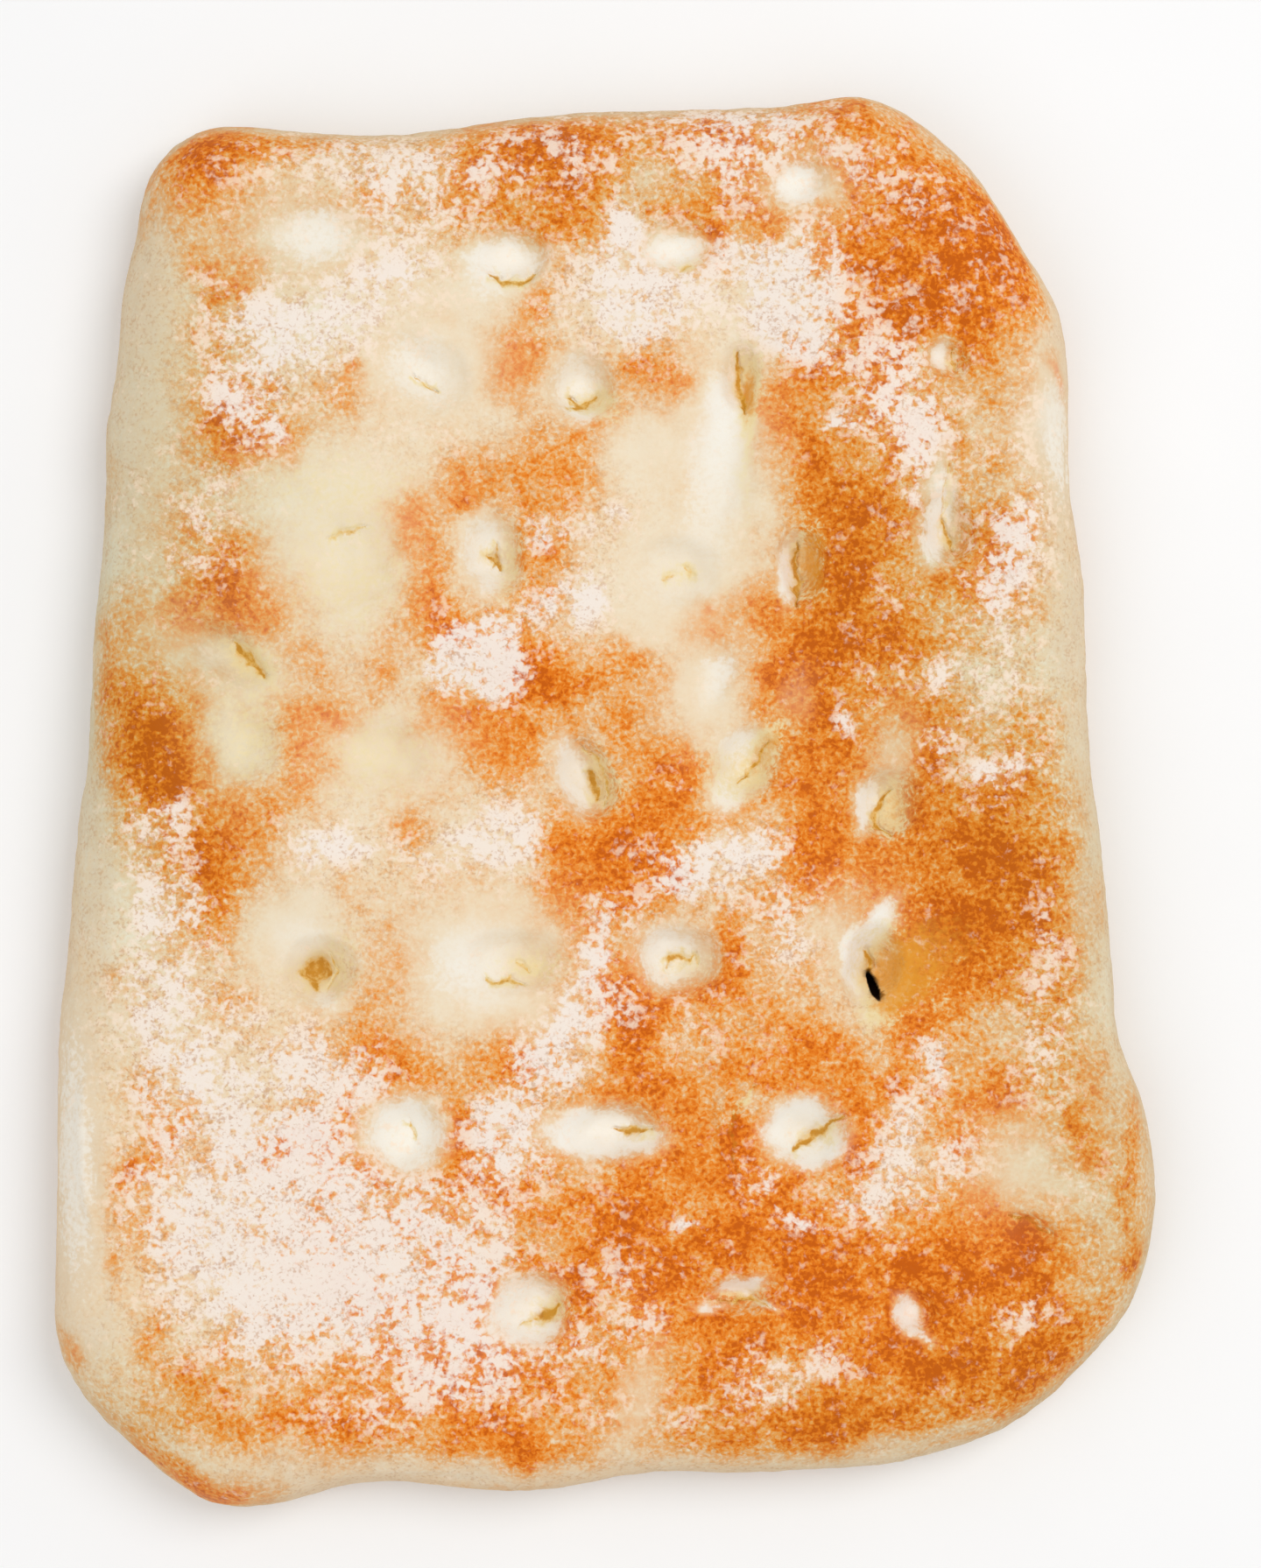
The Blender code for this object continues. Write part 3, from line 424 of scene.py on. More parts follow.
# Takes red out of the crust towards the edges: partly tan crust, partly painted falloff of light
TAN_AND_SHADE_FILTER = (0.80, 0.98, 1.0, 1.0)
BRAN_BROWN = (0.50, 0.22, 0.07, 1.0)
WORKTOP_GREYS = ((0.93, 0.93, 0.93, 1.0), (0.96, 0.96, 0.96, 1.0))

# Sizes of the spots in the materials, in millimetres
FLOUR_SPOT, FLOUR_PATCH, BRAN_SPOT, BRAN_FLECK, OVEN_BLOTCH = 1.4, 5.5, 1.1, 0.8, 4.5
PIT_SPECK, CREASE_SPECK, SCORCH_SIZE, BASE_FLOUR_SIZE, WORKTOP_CLOUD = 1.3, 1.6, 22.0, 20.0, 60.0

# How much the spots change a value, or how much of a value counts
FLOUR_GRAIN, FLOUR_DRIFT, SPECK_RELIEF, BRAN_GATHERS = 1.9, 1.9, 0.4, 0.8
CRUST_BLOTCHES, CRUST_SPECKS, BASE_BLOTCHES, BASE_SPECKS = 1.3, 1.4, 0.7, 0.3
PAINTED_SHADE_SPECKS, WHITE_SPECKS, CREASE_SPECKS = 0.7, 0.6, 1.5
SMOOTH_COVERS, WHITE_COVERS, CRUST_FLOUR, BASE_FLOUR = 0.6, 0.97, 0.93, 0.75
LEAST_ROUGH, BASE_ROUGHNESS, FLOUR_ROUGHNESS, WORKTOP_ROUGHNESS = 0.2, 0.85, 0.2, 0.8
CRUST_RELIEF, CRUST_FLOUR_RELIEF, BASE_RELIEF, BASE_FLOUR_RELIEF = 0.12, 0.35, 0.15, 0.3
CRUST_SPECULAR = 0.08

# Straight changes: by how much for each whole step of the other value, and from where
ROUGH_BY_SMOOTH, WHITE_FROM, WHITE_TO = (-1.1, 1.0), (-0.32, 0.38), (0.26, 0.58)

# Soft changes: between which two values, and to which two others when not to 0 and 1
FLOUR_GRAINS, FLOUR_WHITENS, BRAN_RANGE = (0.22, 0.80), (0.15, 0.75), (0.50, 0.80)
FLOUR_HAZE, FLOUR_THICKNESS = (0.3, 1.0, 0.0, 0.14), (0.0, 0.6, 0.5, 1.0)
SPECKS_GROW, FLANK_COVERS = (0.05, 0.5, 0.2, 1.0), (0.35, 0.8, 0.7, 0.2)
PAINTED_STRAW_RANGE, PAINTED_STRAW_FADES = (0.02, 0.5, 0.0, 0.85), (0.25, 0.6, 1.0, 0.0)
PAINTED_GOLD_RANGE, WHITE_LEVEL = (0.38, 0.95, 0.0, 0.86), (0.35, 0.78, 0.62, 1.0)
SOFT_EDGE_RANGE, CREASE_STARTS, CREASE_IN_BROWN = (0.4, 0.85), (0.0, 0.25), (0.32, 0.6)
BRAN_IN_FLOUR, BRAN_IN_WHITE = (0.1, 0.5, 0.32, 0.5), (0.2, 0.45, 1.0, 0.0)
BRAN_IN_BROWN, CRUST_ROUGHNESS = (0.5, 0.85, 1.0, 0.15), (0.2, 0.9, 0.85, 0.62)
CREASE_RANGE, CREASE_SHADED_CORE = (0.05, 1.05, 0.0, 0.94), (0.6, 0.94, 0.0, 0.5)
SCORCH_RANGE, BASE_FLOUR_RANGE = (0.30, 0.74, 0.30, 0.62), (0.35, 0.70, 0.08, 0.55)

# The stage: in metres, but the gap and the sensor in millimetres and the elevation in degrees
WORKTOP_SIZE, WORKTOP_GAP = 6.0, 0.2
CAMERA_TARGET = Vector((5.7, 2.7, 15.0)) * MM
CAMERA_DISTANCE, CAMERA_ELEVATION = 1.0, 87.0
VIEW_HEIGHT = 358.2 * MM
SENSOR = 36.0
# Lamps: name, place, size, power, colour
LAMPS = (
    ("window", (0.9, 0.5, 1.7), 1.2, 12.6, (1.0, 0.99, 0.98)),
    ("bounce", (-1.1, -0.8, 1.6), 1.6, 5.6, (0.98, 0.99, 1.0)),
)
ROOM_LIGHT = 0.68


# Modelling


def rounded_corner(before, corner, after, radius):
    """Points of the arc that rounds off a corner between its two neighbours."""
    to_before = (before - corner).normalized()
    to_after = (after - corner).normalized()
    half_angle = to_before.angle(to_after) / 2
    centre = corner + (to_before + to_after).normalized() * radius / math.sin(half_angle)
    start = corner + to_before * radius / math.tan(half_angle) - centre
    sweep = math.pi - 2 * half_angle
    turns = (sweep * step / ARC_STEPS for step in range(ARC_STEPS + 1))
    return [centre + Matrix.Rotation(turn, 2) @ start for turn in turns]


def straight_run(start, end):
    """Points evenly spaced between two others, leaving both out."""
    pieces = max(1, round((end - start).length / OUTLINE_STEP))
    return [start.lerp(end, step / pieces) for step in range(1, pieces)]


def loaf_outline():
    """The plan of the loaf, anticlockwise: straight sides, rounded corners and swells."""
    corners = [Vector(corner[:2]) for corner in CORNERS]
    plain = []
    for index, (corner, (_, _, radius)) in enumerate(zip(corners, CORNERS)):
        after = corners[(index + 1) % len(corners)]
        arc = rounded_corner(corners[index - 1], corner, after, radius)
        if plain:
            plain += straight_run(plain[-1], arc[0])
        plain += arc
    plain += straight_run(plain[-1], plain[0])
    outline = []
    for index, point in enumerate(plain):
        along = plain[(index + 1) % len(plain)] - plain[index - 1]
        outward = Vector((along.y, -along.x)).normalized()
        reach = sum(
            height * math.exp(-((point - Vector((x, y))).length_squared) / (2 * half * half))
            for x, y, height, half in SIDE_SWELLS
        )
        outline.append(point + outward * reach)
    return outline


def select_rim(skin, height):
    """Selects, in edit mode, the edges that lie all round at one height."""
    mesh = bmesh.from_edit_mesh(skin.data)
    for edge in mesh.edges:
        edge.select_set(all(abs(v.co.z - height * MM) < LEVEL_TOLERANCE * MM for v in edge.verts))
    bmesh.update_edit_mesh(skin.data)


def dough_slab():
    """A circle moved onto the loaf's plan, raised to its height and rounded at both rims."""
    outline = sorted(loaf_outline(), key=lambda p: math.atan2(p.y, p.x))
    bpy.ops.object.select_all(action="DESELECT")
    bpy.ops.mesh.primitive_circle_add(vertices=len(outline), radius=MM, fill_type="NGON")
    skin = bpy.context.active_object
    skin.name = skin.data.name = "baked_loaf"
    ring = sorted(skin.data.vertices, key=lambda v: math.atan2(v.co.y, v.co.x))
    for vertex, place in zip(ring, outline):
        vertex.co = (place.x * MM, place.y * MM, 0.0)
    bpy.ops.object.mode_set(mode="EDIT")
    bpy.ops.mesh.select_all(action="SELECT")
    bpy.ops.mesh.extrude_region_move(
        TRANSFORM_OT_translate={"value": (0.0, 0.0, SLAB_HEIGHT * MM)}
    )
    bpy.ops.mesh.select_all(action="SELECT")
    bpy.ops.mesh.normals_make_consistent(inside=False)
    bpy.ops.mesh.select_mode(type="EDGE")
    for height, radius, steps in (
        (SLAB_HEIGHT, SHOULDER_RADIUS, SHOULDER_STEPS),
        (0.0, FOOT_RADIUS, FOOT_STEPS),
    ):
        bpy.ops.mesh.select_all(action="DESELECT")
        select_rim(skin, height)
        bpy.ops.mesh.bevel(offset=radius * MM, segments=steps, profile=0.5, affect="EDGES")
    bpy.ops.object.mode_set(mode="OBJECT")
    return skin


def apply_modifier(piece, kind, **settings):
    bpy.context.view_layer.objects.active = piece
    modifier = piece.modifiers.new(kind.title(), kind)
    for name, value in settings.items():
        setattr(modifier, name, value)
    bpy.ops.object.modifier_apply(modifier=modifier.name)


def smooth_step(value, low, high):
    share = np.clip((value - low) / (high - low), 0.0, 1.0)
    return share * share * (3.0 - 2.0 * share)


def places_of(mesh):
    """The vertices' places in millimetres, one row each."""
    flat = np.empty(len(mesh.vertices) * 3, np.float32)
    mesh.vertices.foreach_get("co", flat)
    return flat.reshape(-1, 3).astype(float) / MM


def facing_up(mesh):
    """How far up the skin faces at each vertex: 1 level, 0 upright."""
    flat = np.empty(len(mesh.vertices) * 3, np.float32)
    mesh.vertex_normals.foreach_get("vector", flat)
    return flat.reshape(-1, 3)[:, 2].astype(float)


def uneven(points, wavelength):
    """Smooth unevenness from -1 to 1."""
    return np.array([noise.noise(Vector(p) / wavelength) for p in points])


def drift(points, *steps):
    """The points, each moved sideways a little, so that round forms turn uneven."""
    for wavelength, reach in steps:
        flat = [Vector((x, y, 0.0)) / wavelength for x, y, _ in points]
        moved = np.array([noise.noise_vector(p) for p in flat])[:, :2] * reach
        points = np.column_stack([points[:, :2] + moved, points[:, 2]])
    return points


def turned_offsets(points, x, y, turn):
    """Offsets of the points from (x, y), along and across a direction turned from +X."""
    angle = math.radians(turn)
    dx, dy = points[:, 0] - x, points[:, 1] - y
    along = dx * math.cos(angle) + dy * math.sin(angle)
    across = dy * math.cos(angle) - dx * math.sin(angle)
    return along, across


def run_distance(points, run):
    """Distance of each point from a run of straight pieces, seen from above."""
    nearest = np.full(len(points), np.inf)
    for (x0, y0), (x1, y1) in zip(run, run[1:]):
        step = np.array((x1 - x0, y1 - y0))
        offset = points[:, :2] - (x0, y0)
        share = np.clip(offset @ step / (step @ step), 0.0, 1.0)
        nearest = np.minimum(nearest, np.linalg.norm(offset - share[:, None] * step, axis=1))
    return nearest


def crease_shares(points, spread):
    """How deep in each crease the points are, from 0 to 1, one row for each crease."""
    widening = 1.0 + CREASE_WIDENING * uneven(points, CREASE_WOBBLE)
    for half_width, depth, *run in CREASES:
        length = sum(math.dist(start, end) for start, end in zip(run, run[1:]))
        ends = [np.linalg.norm(points[:, :2] - end, axis=1) for end in (run[0], run[-1])]
        swell = CREASE_SWELL * smooth_step(np.minimum(*ends), 0.0, CREASE_TAPER * length)
        width = half_width * spread * (CREASE_END_WIDTH + swell)
        reach = run_distance(points, run) / width * widening
        yield depth, smooth_step(reach, 1.0, CREASE_FLOOR)


def ellipse_spread(points, x, y, half_length, half_width, turn=0):
    along, across = turned_offsets(points, x, y, turn)
    return (along / half_length) ** 2 + (across / half_width) ** 2


def dimple_depth(points, dimple):
    *place, depth = dimple
    spread = ellipse_spread(points, *place)
    pit = np.clip(1.0 - spread, 0.0, 1.0) ** PIT_STEEPNESS
    funnel = np.exp(-spread / FUNNEL_SPREAD**2)
    return depth * ((1.0 - FUNNEL_SHARE) * pit + FUNNEL_SHARE * funnel)


def fold_height(points, fold):
    """A fold that bows to one side and fades out at its two ends."""
    x, y, half_length, turn, bow, half_width, height = fold
    along, across = turned_offsets(points, x, y, turn)
    share = along / half_length
    across = across - bow * (1.0 - share**2)
    ends = smooth_step(np.abs(share), 1.0, FOLD_FADE_FROM)
    return height * ends * np.exp(-((across / half_width) ** 2))


def cut_finer_by_creases(skin):
    """Smaller faces along the creases, so that they come out as narrow as they are."""
    points = places_of(skin.data)
    near = ellipse_spread(points, *TEAR[:5]) < TEAR_REACH
    for _, _, *run in CREASES:
        near |= run_distance(points, run) < CREASE_REACH
    near &= points[:, 2] > PRESSED_TO
    bpy.ops.object.select_all(action="DESELECT")
    skin.select_set(True)
    bpy.context.view_layer.objects.active = skin
    bpy.ops.object.mode_set(mode="EDIT")
    bpy.ops.mesh.select_mode(type="FACE")
    bpy.ops.mesh.select_all(action="DESELECT")
    bpy.ops.object.mode_set(mode="OBJECT")
    for face in skin.data.polygons:
        face.select = all(near[index] for index in face.vertices)
    bpy.ops.object.mode_set(mode="EDIT")
    bpy.ops.mesh.subdivide(number_cuts=CREASE_CUTS)
    bpy.ops.object.mode_set(mode="OBJECT")


def crust_lift(points, soft, jagged):
    """How far the top rises in waves, blisters and folds, and sinks in pits and creases."""
    lift = sum(height * uneven(points, wavelength) for wavelength, height in WAVES + CRUST_WAVES)
    for *place, height in BLISTERS:
        lift += height * np.exp(-ellipse_spread(points, *place))
    for fold in FOLDS:
        lift += fold_height(soft, fold)
    pits = sum(dimple_depth(soft, dimple) for dimple in DIMPLES)
    lumps = sum(share * uneven(points, wavelength) for wavelength, share in PIT_LUMP_WAVES)
    lift += PIT_LUMPS * lumps * np.clip(pits / LUMPY_BELOW, 0.0, 1.0) - pits
    for depth, share in crease_shares(jagged, PRESSED_SPREAD):
        lift -= depth * share
    for *place, depth in (PUCKER, TEAR):
        lift -= depth * smooth_step(ellipse_spread(jagged, *place), *TEAR_WALL)
    return lift


def flank_reach(points, crust):
    """How far the sides wave in and out, with fine wrinkles that run round the loaf."""
    height = points[:, 2]
    side = smooth_step(height, 0.0, PRESSED_FROM) * (1.0 - crust)
    reach = SIDE_WAVE_REACH * uneven(points, WAVES[1][0]) * side
    pores = SIDE_PORE_REACH * uneven(points, SIDE_PORE)
    reach += pores * smooth_step(height, *PORES_START) * (1.0 - crust)
    wrinkles = sum(
        share * uneven(points * (stretch, stretch, 1.0), wavelength)
        for stretch, wavelength, share in WRINKLES
    )
    faded = smooth_step(height, *WRINKLES_START) * smooth_step(height, *WRINKLES_END)
    return reach + FLANK_WRINKLES * wrinkles * faded


def press_and_bake(skin):
    """Moves the slab's vertices as fingertips and the oven do."""
    points = places_of(skin.data)
    crust = smooth_step(points[:, 2], PRESSED_FROM, PRESSED_TO)
    lift = crust_lift(points, drift(points, *SOFT_DRIFT), drift(points, *JAGGED_DRIFT))
    from_middle = np.linalg.norm(points[:, :2], axis=1, keepdims=True)
    outward = points[:, :2] / np.maximum(from_middle, 1.0)
    reach = flank_reach(points, crust)
    points[:, 2] += lift * crust
    points[:, :2] += outward * reach[:, None]
    points[points[:, 2] < FLOOR_SNAP, 2] = 0.0
    skin.data.vertices.foreach_set("co", (points * MM).astype(np.float32).ravel())
    skin.data.update()


def centre_on_floor(skin):
    points = places_of(skin.data) * MM
    low, high = points.min(axis=0), points.max(axis=0)
    middle = (low + high) / 2
    skin.data.transform(Matrix.Translation((-middle[0], -middle[1], -low[2])))


# The marks of baking


def patches(points, rows, hardness=0.9):
    """Soft patches that add up where they overlap, from 0 to 1."""
    bare = np.ones(len(points))
    for *place, strength in rows:
        fade = np.exp(-hardness * ellipse_spread(points, *place))
        bare *= 1.0 - np.minimum(strength, FULL_PATCH) * fade
    return 1.0 - bare


def clouds(points, wavelength, steps=3):
    """Unevenness of several sizes, each half as long and about half as strong as the last."""
    sizes = (wavelength / 2**step for step in range(steps))
    return sum(CLOUD_FADE**step * uneven(points, size) for step, size in enumerate(sizes))


def clouded(cloud, mean, swing):
    return mean + swing * cloud


def crease_marks(points, nearby, jagged):
    """How creased the points are, and how near to a crease, from 0 to 1."""
    crease, fringe = np.zeros(len(points)), np.zeros(len(points))
    for depth, share in crease_shares(jagged, LINE_SPREAD):
        crease = np.maximum(crease, share * min(LINE_LEAST + LINE_BY_DEPTH * depth, 1.0))
    for _, share in crease_shares(nearby, FRINGE_SPREAD):
        fringe = np.maximum(fringe, share)
    ragged = 1.0 + PUCKER_RAGGEDNESS * uneven(points, CREASE_WOBBLE)
    pucker = ellipse_spread(jagged, *PUCKER[:5]) * ragged
    pucker = PUCKER_CREASE_SHARE - PUCKER_CREASE_SHARE * smooth_step(pucker, *PUCKER_EDGE)
    return np.maximum(crease, pucker), fringe


def browning_of(points, wandering, smooth, flank, upright, cloud):
    """How browned the points are: tints, spots, rims and the lower edge, less in smooth dough."""
    tint = patches(drift(points, *TINT_DRIFT), TINTS, TINT_HARDNESS) * clouded(cloud, *TINT_CLOUD)
    spots = SPOT_BROWNING * patches(wandering, BROWNED) * clouded(cloud, *SPOT_CLOUD)
    browned = 1.0 - (1.0 - tint) * (1.0 - spots)
    browned += PATCH_EDGE * (smooth_step(browned, *PATCH_EDGE_RANGE) - browned)
    browned = np.maximum(browned, clouded(cloud, *LEAST_BROWNING))
    browned *= (1.0 - SMOOTH_STAYS_PALE * smooth) * (1.0 - FLANK_STAYS_PALE * flank)
    browned = np.maximum(browned, patches(wandering, RIM_BROWNED))
    browned *= 1.0 - UPRIGHT_STAYS_PALE * upright
    foot = clouded(cloud, *FOOT_BROWNING) * smooth_step(points[:, 2], *FOOT_BROWNED)
    return np.maximum(browned, foot)


def store(mesh, name, values):
    attribute = mesh.attributes.new(name, "FLOAT", "POINT")
    attribute.data.foreach_set("value", np.clip(values, *MARK_LIMITS).astype(np.float32))


def mark_baking(skin):
    """Keeps on each vertex how browned, floured, smooth, pale, creased and torn it is, and where shade is
    painted.
    """
    mesh = skin.data
    points = places_of(mesh)
    wandering = drift(points, *WANDERING_DRIFT)
    nearby = drift(points, *NEARBY_DRIFT)
    white = patches(nearby, WHITENED)
    crease, fringe = crease_marks(points, nearby, drift(points, *JAGGED_DRIFT))
    # Where warm shade is painted: dimple walls and the fringes of creases
    warm_shade = np.maximum(patches(nearby, PAINTED_WARM_SHADE), FRINGE_SHADE * fringe)
    # Where the painted shadow of the tear goes
    tear_shadow = smooth_step(ellipse_spread(drift(points, *TORN_DRIFT), *TEAR[:5]), *TORN_EDGE)

    upright = smooth_step(facing_up(mesh), *UPRIGHT_RANGE)
    flank = smooth_step(points[:, 2], *FLANK_HEIGHTS)
    shoulder = patches(wandering, PALE_FLANKS) * smooth_step(points[:, 2], *SHOULDER_HEIGHTS)
    flank = np.maximum(flank, shoulder)
    smooth = WHITE_SMOOTHNESS * smooth_step(white, *WHITE_SMOOTH_RANGE)
    smooth = np.maximum(smooth, PATCH_SMOOTHNESS * patches(wandering, SMOOTH))
    white *= 1.0 - UPRIGHT_LOSES * upright
    smooth *= 1.0 - UPRIGHT_LOSES * upright
    cloud = clouds(points, CLOUD_SIZE)
    floured = FLOUR_LOT * patches(wandering, FLOURED, FLOUR_HARDNESS)
    floured += clouded(cloud, *FLOUR_CLOUD)
    floured *= (1.0 - SMOOTH_SHEDS_FLOUR * smooth) * (1.0 - FLANK_SHEDS_FLOUR * flank)

    store(mesh, "browned", browning_of(points, wandering, smooth, flank, upright, cloud))
    store(mesh, "floured", floured)
    store(mesh, "smooth_dough", smooth)
    store(mesh, "whitened", white)
    store(mesh, "painted_warm_shade", warm_shade)
    store(mesh, "crease", crease)
    store(mesh, "tear_shadow", tear_shadow)
    store(mesh, "flank", flank)
    # Where the crust is less red: tan crust and painted falloff of light towards the edges
    store(mesh, "tan_and_edge_shade", patches(wandering, TAN_AND_EDGE_SHADE))


# Materials


def add_node(tree, kind, sockets=None, **settings):
    """A node with its settings, and each named input given a value or joined to a socket."""
    node = tree.nodes.new(kind)
    for name, value in settings.items():
        setattr(node, name, value)
    for name, value in (sockets or {}).items():
        if isinstance(value, bpy.types.NodeSocket):
            tree.links.new(value, node.inputs[name])
        else:
            node.inputs[name].default_value = value
    return node


def calculate(tree, operation, first, second=0.0, third=0.0):
    node = add_node(tree, "ShaderNodeMath", {0: first, 1: second, 2: third}, operation=operation)
    return node.outputs[0]


def multiply(tree, first, second):
    return calculate(tree, "MULTIPLY", first, second)


def spread_over(tree, value, low, high, to_low=0.0, to_high=1.0):
    """Maps a value from one range to another with soft ends."""
    sockets = {"Value": value, "From Min": low, "From Max": high, "To Min": to_low, "To Max": to_high}
    node = add_node(tree, "ShaderNodeMapRange", sockets, interpolation_type="SMOOTHSTEP")
    return node.outputs["Result"]


def mix_colour(tree, share, under, over, blend="MIX"):
    sockets = {0: share, 6: under, 7: over}
    return add_node(tree, "ShaderNodeMix", sockets, data_type="RGBA", blend_type=blend).outputs[2]


def grain(tree, size_mm, detail=2.0, roughness=0.6, distortion=0.0, seed=0.0):
    """Noise whose spots are about one size, read from the object's own coordinates."""
    place = add_node(tree, "ShaderNodeTexCoord").outputs["Object"]
    place = add_node(tree, "ShaderNodeMapping", {"Vector": place, "Location": (seed, seed, seed)})
    sockets = {
        "Vector": place.outputs[0],
        "Scale": 1.0 / (size_mm * MM),
        "Detail": detail,
        "Roughness": roughness,
        "Distortion": distortion,
    }
    return add_node(tree, "ShaderNodeTexNoise", sockets).outputs["Fac"]


def swing_of(tree, spots):
    """A grain's spots as a swing to both sides of nought."""
    return calculate(tree, "SUBTRACT", spots, 0.5)


def marked(tree, name):
    """The value that the vertices keep under a name."""
    return add_node(tree, "ShaderNodeAttribute", attribute_name=name).outputs["Fac"]


def new_group(name, inputs, outputs):
    group = bpy.data.node_groups.new(name, "ShaderNodeTree")
    for in_out, rows in (("INPUT", inputs), ("OUTPUT", outputs)):
        for label, kind in rows:
            group.interface.new_socket(label, in_out=in_out, socket_type=f"NodeSocket{kind}")
    return group, group.nodes.new("NodeGroupInput"), group.nodes.new("NodeGroupOutput")


def flour_dusting():
    """Flour caught in grains on a crust: covers a share of it, and lets some colour through."""
    group, start, end = new_group(
        "flour_dusting",
        (("Crust Colour", "Color"), ("Amount", "Float"), ("Opacity", "Float")),
        (("Colour", "Color"), ("Cover", "Float")),
    )
    amount = start.outputs["Amount"]
    fine = grain(group, FLOUR_SPOT, detail=2.0, roughness=0.5, distortion=0.3, seed=3.1)
    broad = grain(group, FLOUR_PATCH, detail=2.0, seed=7.7)
    lot = calculate(group, "MULTIPLY_ADD", swing_of(group, fine), FLOUR_GRAIN, amount)
    lot = calculate(group, "MULTIPLY_ADD", swing_of(group, broad), FLOUR_DRIFT, lot)
    grains = spread_over(group, lot, *FLOUR_GRAINS)
    cover = calculate(group, "MAXIMUM", grains, spread_over(group, amount, *FLOUR_HAZE))
    share = multiply(group, cover, start.outputs["Opacity"])
    share = multiply(group, share, spread_over(group, amount, *FLOUR_THICKNESS))
    flour = mix_colour(group, spread_over(group, amount, *FLOUR_WHITENS), THIN_FLOUR, FLOUR_WHITE)
    colour = mix_colour(group, share, start.outputs["Crust Colour"], flour)
    group.links.new(colour, end.inputs["Colour"])
    group.links.new(cover, end.inputs["Cover"])
    return group


def oven_mottle():
    """Browning broken up by blotches and by specks the size of bran."""
    group, start, end = new_group(
        "oven_mottle",
        (("Browning", "Float"), ("Blotches", "Float"), ("Specks", "Float")),
        (("Browning", "Float"), ("Relief", "Float"), ("Bran", "Float")),
    )
    specks = grain(group, BRAN_SPOT, detail=2.0, roughness=0.5, distortion=0.4, seed=1.3)
    blotches = grain(group, OVEN_BLOTCH, detail=4.0, roughness=0.65, seed=5.9)
    gain = multiply(group, swing_of(group, blotches), start.outputs["Blotches"])
    gain = calculate(group, "ADD", gain, 1.0)
    lot = multiply(group, start.outputs["Browning"], gain)
    swing = multiply(group, swing_of(group, specks), spread_over(group, lot, *SPECKS_GROW))
    lot = calculate(group, "MULTIPLY_ADD", swing, start.outputs["Specks"], lot)
    group.links.new(lot, end.inputs["Browning"])
    relief = calculate(group, "MULTIPLY_ADD", specks, SPECK_RELIEF, blotches)
    group.links.new(relief, end.inputs["Relief"])
    bran = grain(group, BRAN_FLECK, detail=1.0, roughness=0.5, distortion=0.3, seed=8.8)
    bran = calculate(group, "MULTIPLY_ADD", swing_of(group, blotches), BRAN_GATHERS, bran)
    group.links.new(spread_over(group, bran, *BRAN_RANGE), end.inputs["Bran"])
    return group


def baked_colour(tree, browning):
    ramp = add_node(tree, "ShaderNodeValToRGB", {"Fac": browning})
    marks = ramp.color_ramp.elements
    for index, (position, colour) in enumerate(BAKING_SCALE):
        mark = marks[index] if index < 2 else marks.new(position)
        mark.position = position
        mark.color = (*colour, 1.0)
    return ramp.outputs["Color"]


def use_group(tree, group, **sockets):
    node = add_node(tree, "ShaderNodeGroup", node_tree=group)
    for name, value in sockets.items():
        label = name.replace("_", " ").title()
        if isinstance(value, bpy.types.NodeSocket):
            tree.links.new(value, node.inputs[label])
        else:
            node.inputs[label].default_value = value
    return node.outputs


def new_material(name):
    material = bpy.data.materials.new(name)
    material.use_nodes = True
    return material, material.node_tree, material.node_tree.nodes["Principled BSDF"]


def add_relief(tree, shader, height, distance):
    sockets = {"Height": height, "Distance": distance * MM, "Strength": 1.0}
    bump = add_node(tree, "ShaderNodeBump", sockets)
    tree.links.new(bump.outputs["Normal"], shader.inputs["Normal"])


def dough_colour(tree, smooth, browning):
    """Dough by how browned it is, plainer in smooth dough, and tanner and darker on the flanks and towards
    the edges, partly as painted shade.
    """
    colour = baked_colour(tree, browning)
    flank = spread_over(tree, marked(tree, "browned"), *FLANK_COVERS)
    flank = multiply(tree, marked(tree, "flank"), flank)
    # Darker flank dough, partly painted shade
    colour = mix_colour(tree, flank, colour, FLANK_DOUGH_AND_SHADE)
    colour = mix_colour(tree, multiply(tree, smooth, SMOOTH_COVERS), colour, SMOOTH_DOUGH)
    # Less red towards the edges, partly painted falloff of light
    return mix_colour(tree, marked(tree, "tan_and_edge_shade"), colour, TAN_AND_SHADE_FILTER, "MULTIPLY")


